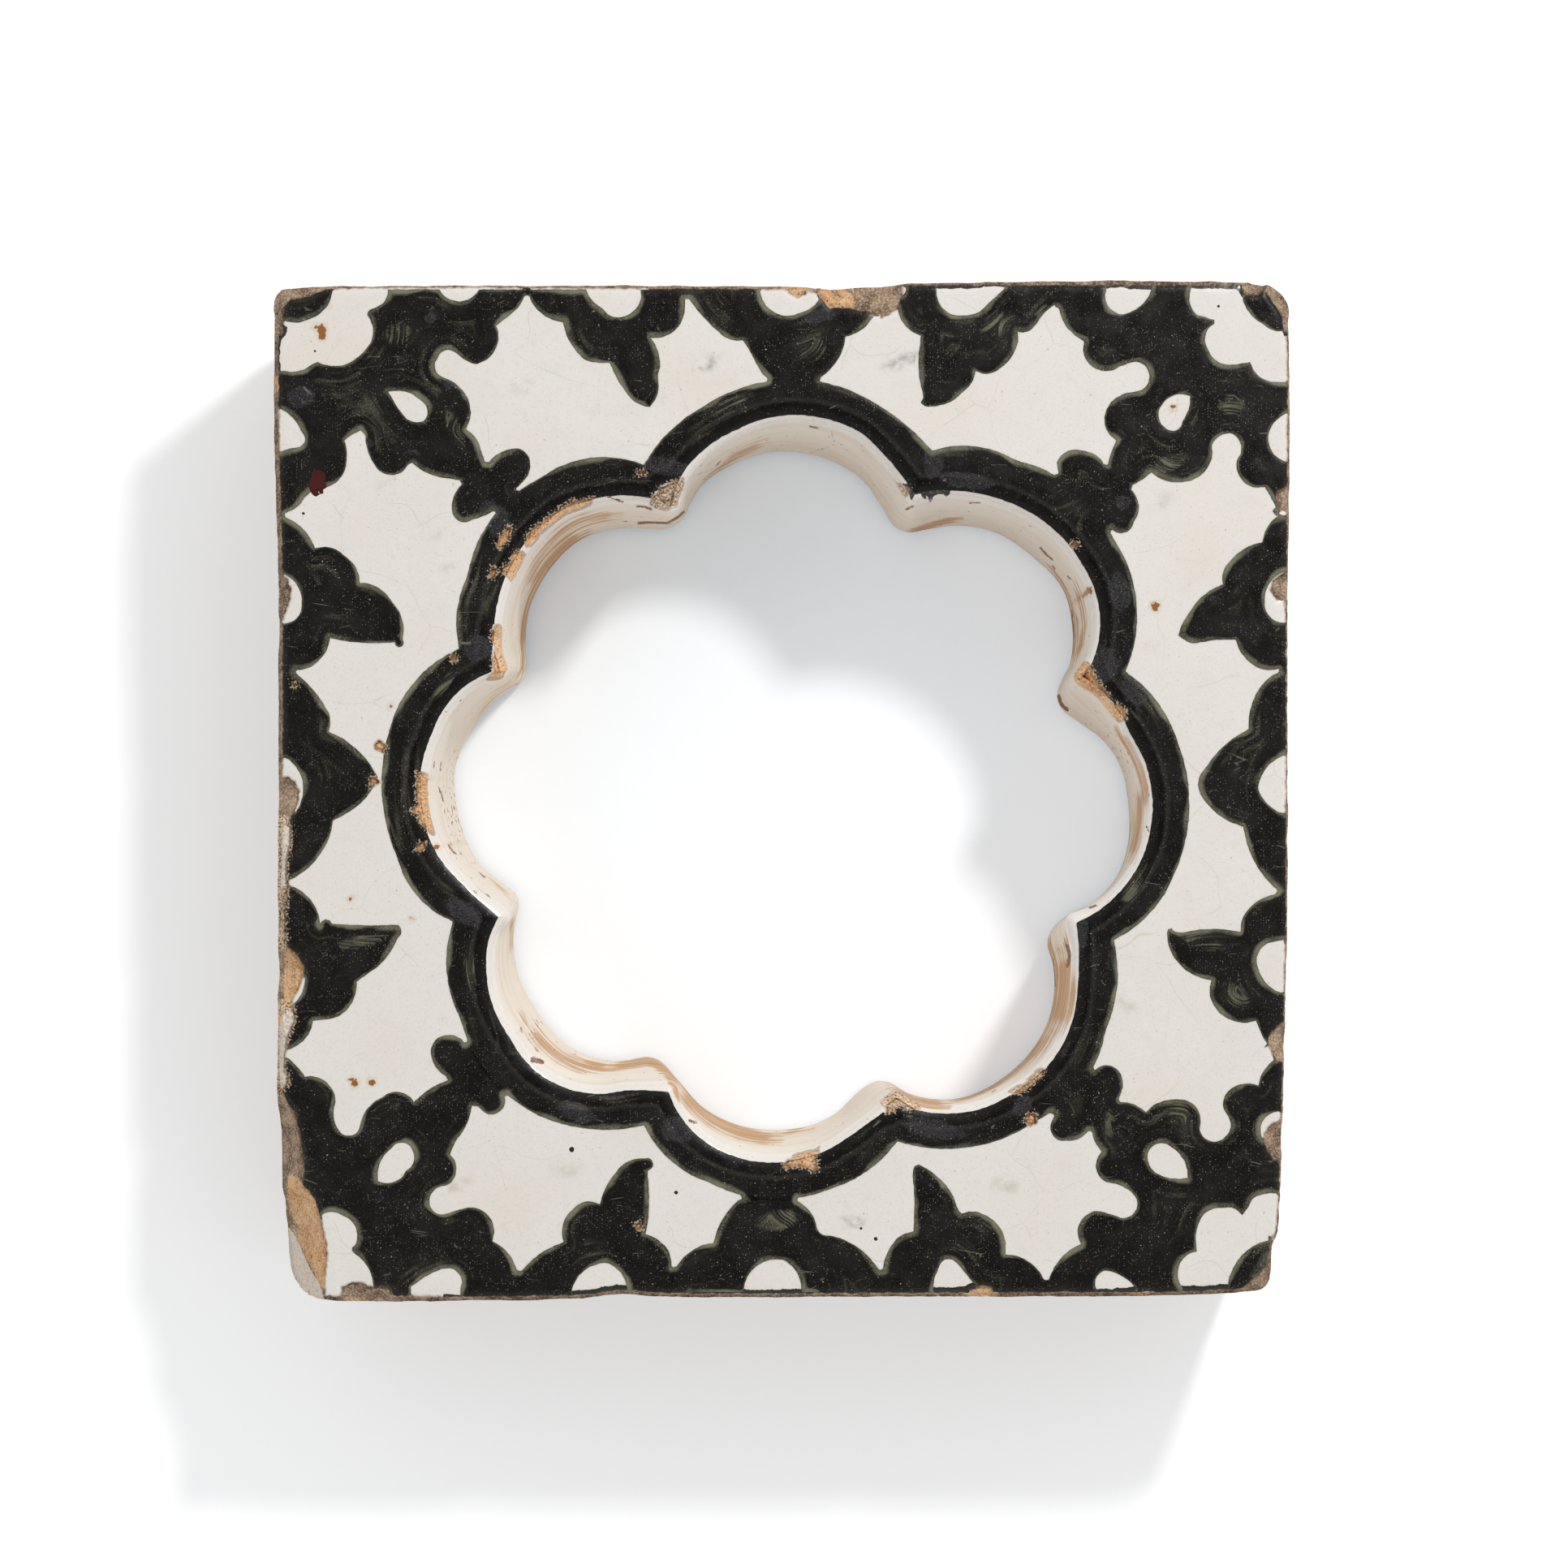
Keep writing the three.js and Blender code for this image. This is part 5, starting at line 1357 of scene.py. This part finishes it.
def fill_between(outer_loop, inner_loop, field, clear):
    """Points and triangles between two loops, through field points that keep clear of them."""
    outer = Outline([outer_loop])
    hollow = Outline([inner_loop])
    inside = between(outer, hollow)
    field = field[inside(field)]
    field = field[(outer.distance(field) > clear) & (hollow.distance(field) > clear)]
    return fill([outer_loop, inner_loop], field, inside)


def clay_top(top_edge, inner):
    """Points and triangles of the block's upper face, finer where it shows."""
    dense = grid(BARE_CLAY_GRID)
    dense = dense[np.abs(dense).max(1) > OUTER_BAND]
    field = [grid(CLAY_GRID), dense[glaze_line.signed(dense) > -BARE_LAP]]
    for line in chip_lines:
        patch = grid(CHIP_GRID, line.low - BARE_LAP, line.high + BARE_LAP)
        field.append(patch[line.signed(patch) < CHIP_LAP])
    return fill_between(top_edge, inner, np.concatenate(field), CLEAR)


def clay_back(base_edge, inner):
    """Points and triangles of the uneven back, its triangles facing down."""
    flat, faces = fill_between(base_edge, inner, grid(BACK_GRID), BACK_CLEAR)
    rim = np.minimum(Outline([base_edge]).distance(flat), Outline([inner]).distance(flat))
    hollowing = np.clip(0.25 + 0.45 * wave(flat, 11, 73, 3), 0, 1) * smoothstep(0, 3, rim)
    return np.column_stack([flat, hollowing]), [face[::-1] for face in faces]


def clay_side(top_edge, edge_top):
    """Rows of the outer sides, from the top down to a small chamfer at the base."""
    rows = []
    normals = outward(side_loop)
    for share in np.concatenate([[0], np.linspace(0.01, CHAMFER_START, SIDE_ROWS), [1]]):
        z = edge_top * (1 - share)
        low = np.column_stack([side_loop, z])
        push = 0.16 * wave(low, 7, 71, 3) + 0.10 * wave(low, 1.6, 72)
        push = np.minimum(push, 0.18) - BASE_CHAMFER * smoothstep(CHAMFER_START, 1, share)
        blend = smoothstep(0, 0.06, share)
        plan = top_edge * (1 - blend) + (side_loop + normals * push[:, None]) * blend
        rows.append(np.column_stack([plan, z]))
    return rows


def make_clay_body():
    """The fired block: worn arrises, rough sides and back, and pits where chips went deep."""
    push = 0.12 * wave(side_loop, 7, 70, 2) + 0.06 * wave(side_loop, 1.5, 74)
    top_edge = side_loop + outward(side_loop) * np.minimum(push, 0.15)[:, None]
    inner = wall_loop + wall_normals * CLAY_WALL
    flat, faces = clay_top(top_edge, inner)
    top = clay_height(flat)
    tree = plan_tree(flat)
    sides = clay_side(top_edge, top[nearest(tree, top_edge)])
    levels = [top[nearest(tree, inner)]]
    levels += [np.full(len(inner), z) for z in np.linspace(WALL_TOP - 2, 0, CLAY_WALL_ROWS)]
    wall = [np.column_stack([inner + wall_lean * lean_share(z)[:, None], z]) for z in levels]
    first = len(flat)
    for number in range(1, len(sides)):
        start = first + number * len(side_loop)
        faces += strip(start, start - len(side_loop), len(side_loop))
    first += len(sides) * len(side_loop)
    for number in range(1, len(wall)):
        start = first + number * len(inner)
        faces += strip(start - len(inner), start, len(inner))
    first += len(wall) * len(inner)
    back, back_faces = clay_back(sides[-1][:, :2], wall[-1][:, :2])
    faces += [[first + v for v in face] for face in back_faces]
    points = np.vstack([np.column_stack([flat, top])] + sides + wall + [back])
    points, faces, _ = weld(points, faces)
    make_piece("clay_block", points, faces, "clay_body", clay_material,
               clay_values(points))


def clay_values(points):
    """How orange, how pale and how worn the clay is at each point."""
    plan = points[:, :2]
    shade, chipped = chip_shade(plan, 0.8, 0.0)
    below = FACE - points[:, 2] + 1.2 * np.sin(plan[:, 0] * 2.1 + plan[:, 1] * 1.7)
    chipped = chipped * (1 - smoothstep(5.0, 9.0, below))
    fresh = 0.15 + (shade - 0.15) * chipped
    worn = 1 - chipped
    for index, line in enumerate(orange_lines):
        depth = DEEP_ORANGE if index < DEEP_PATCHES else EDGE_ORANGE
        share = (line.signed(plan) < 0.3) * (1 - smoothstep(depth * 0.6, depth * 1.3, below))
        fresh = np.maximum(fresh, 0.95 * share)
        worn = np.minimum(worn, 1 - 0.85 * share)
    pale = np.zeros(len(points))
    for line in pale_lines:
        pale = np.maximum(pale, smoothstep(-0.3, 0.6, -line.signed(plan)))
    pale *= points[:, 2] > PALE_FOOT
    return {"fresh": fresh, "pale": pale, "worn": worn * (1 - 0.6 * pale)}


make_clay_body()


# Stage

def make_camera():
    """The photograph's camera, straight above."""
    data = bpy.data.cameras.new("view")
    data.sensor_width = SENSOR
    data.lens = SENSOR * VIEW_DISTANCE / PHOTO_WIDTH
    data.shift_x = (PHOTO_MIDDLE[0] - AXIS[0]) / PHOTO_WIDTH
    data.shift_y = (PHOTO_MIDDLE[1] - AXIS[1]) / PHOTO_WIDTH
    data.clip_start = 0.01
    camera = add_object("view", data)
    camera.location = (AXIS[0] * MM, AXIS[1] * MM, (FACE + VIEW_DISTANCE) * MM)
    bpy.context.scene.camera = camera


def make_floor():
    """A pale floor that the eye sees as white and that still takes the shadow."""
    mesh = bpy.data.meshes.new("floor")
    size = FLOOR_SIZE
    mesh.from_pydata([(-size, -size, 0), (size, -size, 0), (size, size, 0), (-size, size, 0)], [],
                     [(0, 1, 2, 3)])
    floor = add_object("floor", mesh)
    floor.location.z = -FLOOR_DROP
    look = Look("floor_look")
    rays = look.add("LightPath")
    seen = look.largest(*(look.out(rays, f"Is {kind} Ray")
                          for kind in ("Camera", "Glossy", "Transmission")))
    # painted shade: the floor's own light is less in the opening, least at its left
    offset = look.vector("LENGTH", look.stretched(1, 1, 0), (0, 0, 0))
    opening = look.ramp(offset, 95, 80)
    across = look.vector("DOT_PRODUCT", look.place, (1, -0.4, 0))
    level = opening * look.ramp(across, -60, 75, *OPENING_SHADE_GLOW) + (1.0 - opening) * FLOOR_GLOW
    # painted light: a cooler glow in the opening cancels the warm light bounced off its wall
    cool = look.mix(look.ramp(across, -50, 60), (0.75, 1.0, 1.23), (0.87, 1.0, 1.14))
    look.put(look.shader, "Emission Color", look.mix(opening, (0.97, 1.0, 1.03), cool))
    look.put(look.shader, "Emission Strength", seen * level)
    mesh.materials.append(look.finish((0.9, 0.9, 0.9), 1.0, 0.0))
    floor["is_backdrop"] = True


def make_softbox():
    """A small softbox up to the right."""
    data = bpy.data.lights.new("softbox", "AREA")
    data.shape = "DISK"
    data.size = SOFTBOX_SIZE
    data.energy = 1.0
    data.use_nodes = True
    nodes = data.node_tree.nodes
    falloff = nodes.new("ShaderNodeLightFalloff")
    falloff.inputs["Strength"].default_value = SOFTBOX_STRENGTH
    data.node_tree.links.new(falloff.outputs["Constant"], nodes["Emission"].inputs["Strength"])
    lamp = add_object("softbox", data)
    lamp.location = SOFTBOX_PLACE
    towards = Vector((0, 0, FACE * MM)) - lamp.location
    lamp.rotation_euler = towards.to_track_quat("-Z", "Y").to_euler()


def make_sky():
    """An even sky that darkens overhead."""
    world = bpy.data.worlds.new("sky")
    bpy.context.scene.world = world
    world.use_nodes = True
    nodes = world.node_tree.nodes
    links = world.node_tree.links
    split = nodes.new("ShaderNodeSeparateXYZ")
    links.new(nodes.new("ShaderNodeTexCoord").outputs["Generated"], split.inputs[0])
    ramp = nodes.new("ShaderNodeValToRGB")
    stops = ramp.color_ramp.elements
    for number, (position, level) in enumerate(SKY_STOPS):
        stop = stops[number] if number < 2 else stops.new(position)
        stop.position = position
        stop.color = (level, level, level, 1)
    links.new(split.outputs["Z"], ramp.inputs[0])
    links.new(ramp.outputs[0], nodes["Background"].inputs["Color"])


make_camera()
make_floor()
make_softbox()
make_sky()
bpy.context.scene.view_settings.view_transform = "Standard"
[[list(map(float, corner)) for corner in box] for box in (cad_bounds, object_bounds())]
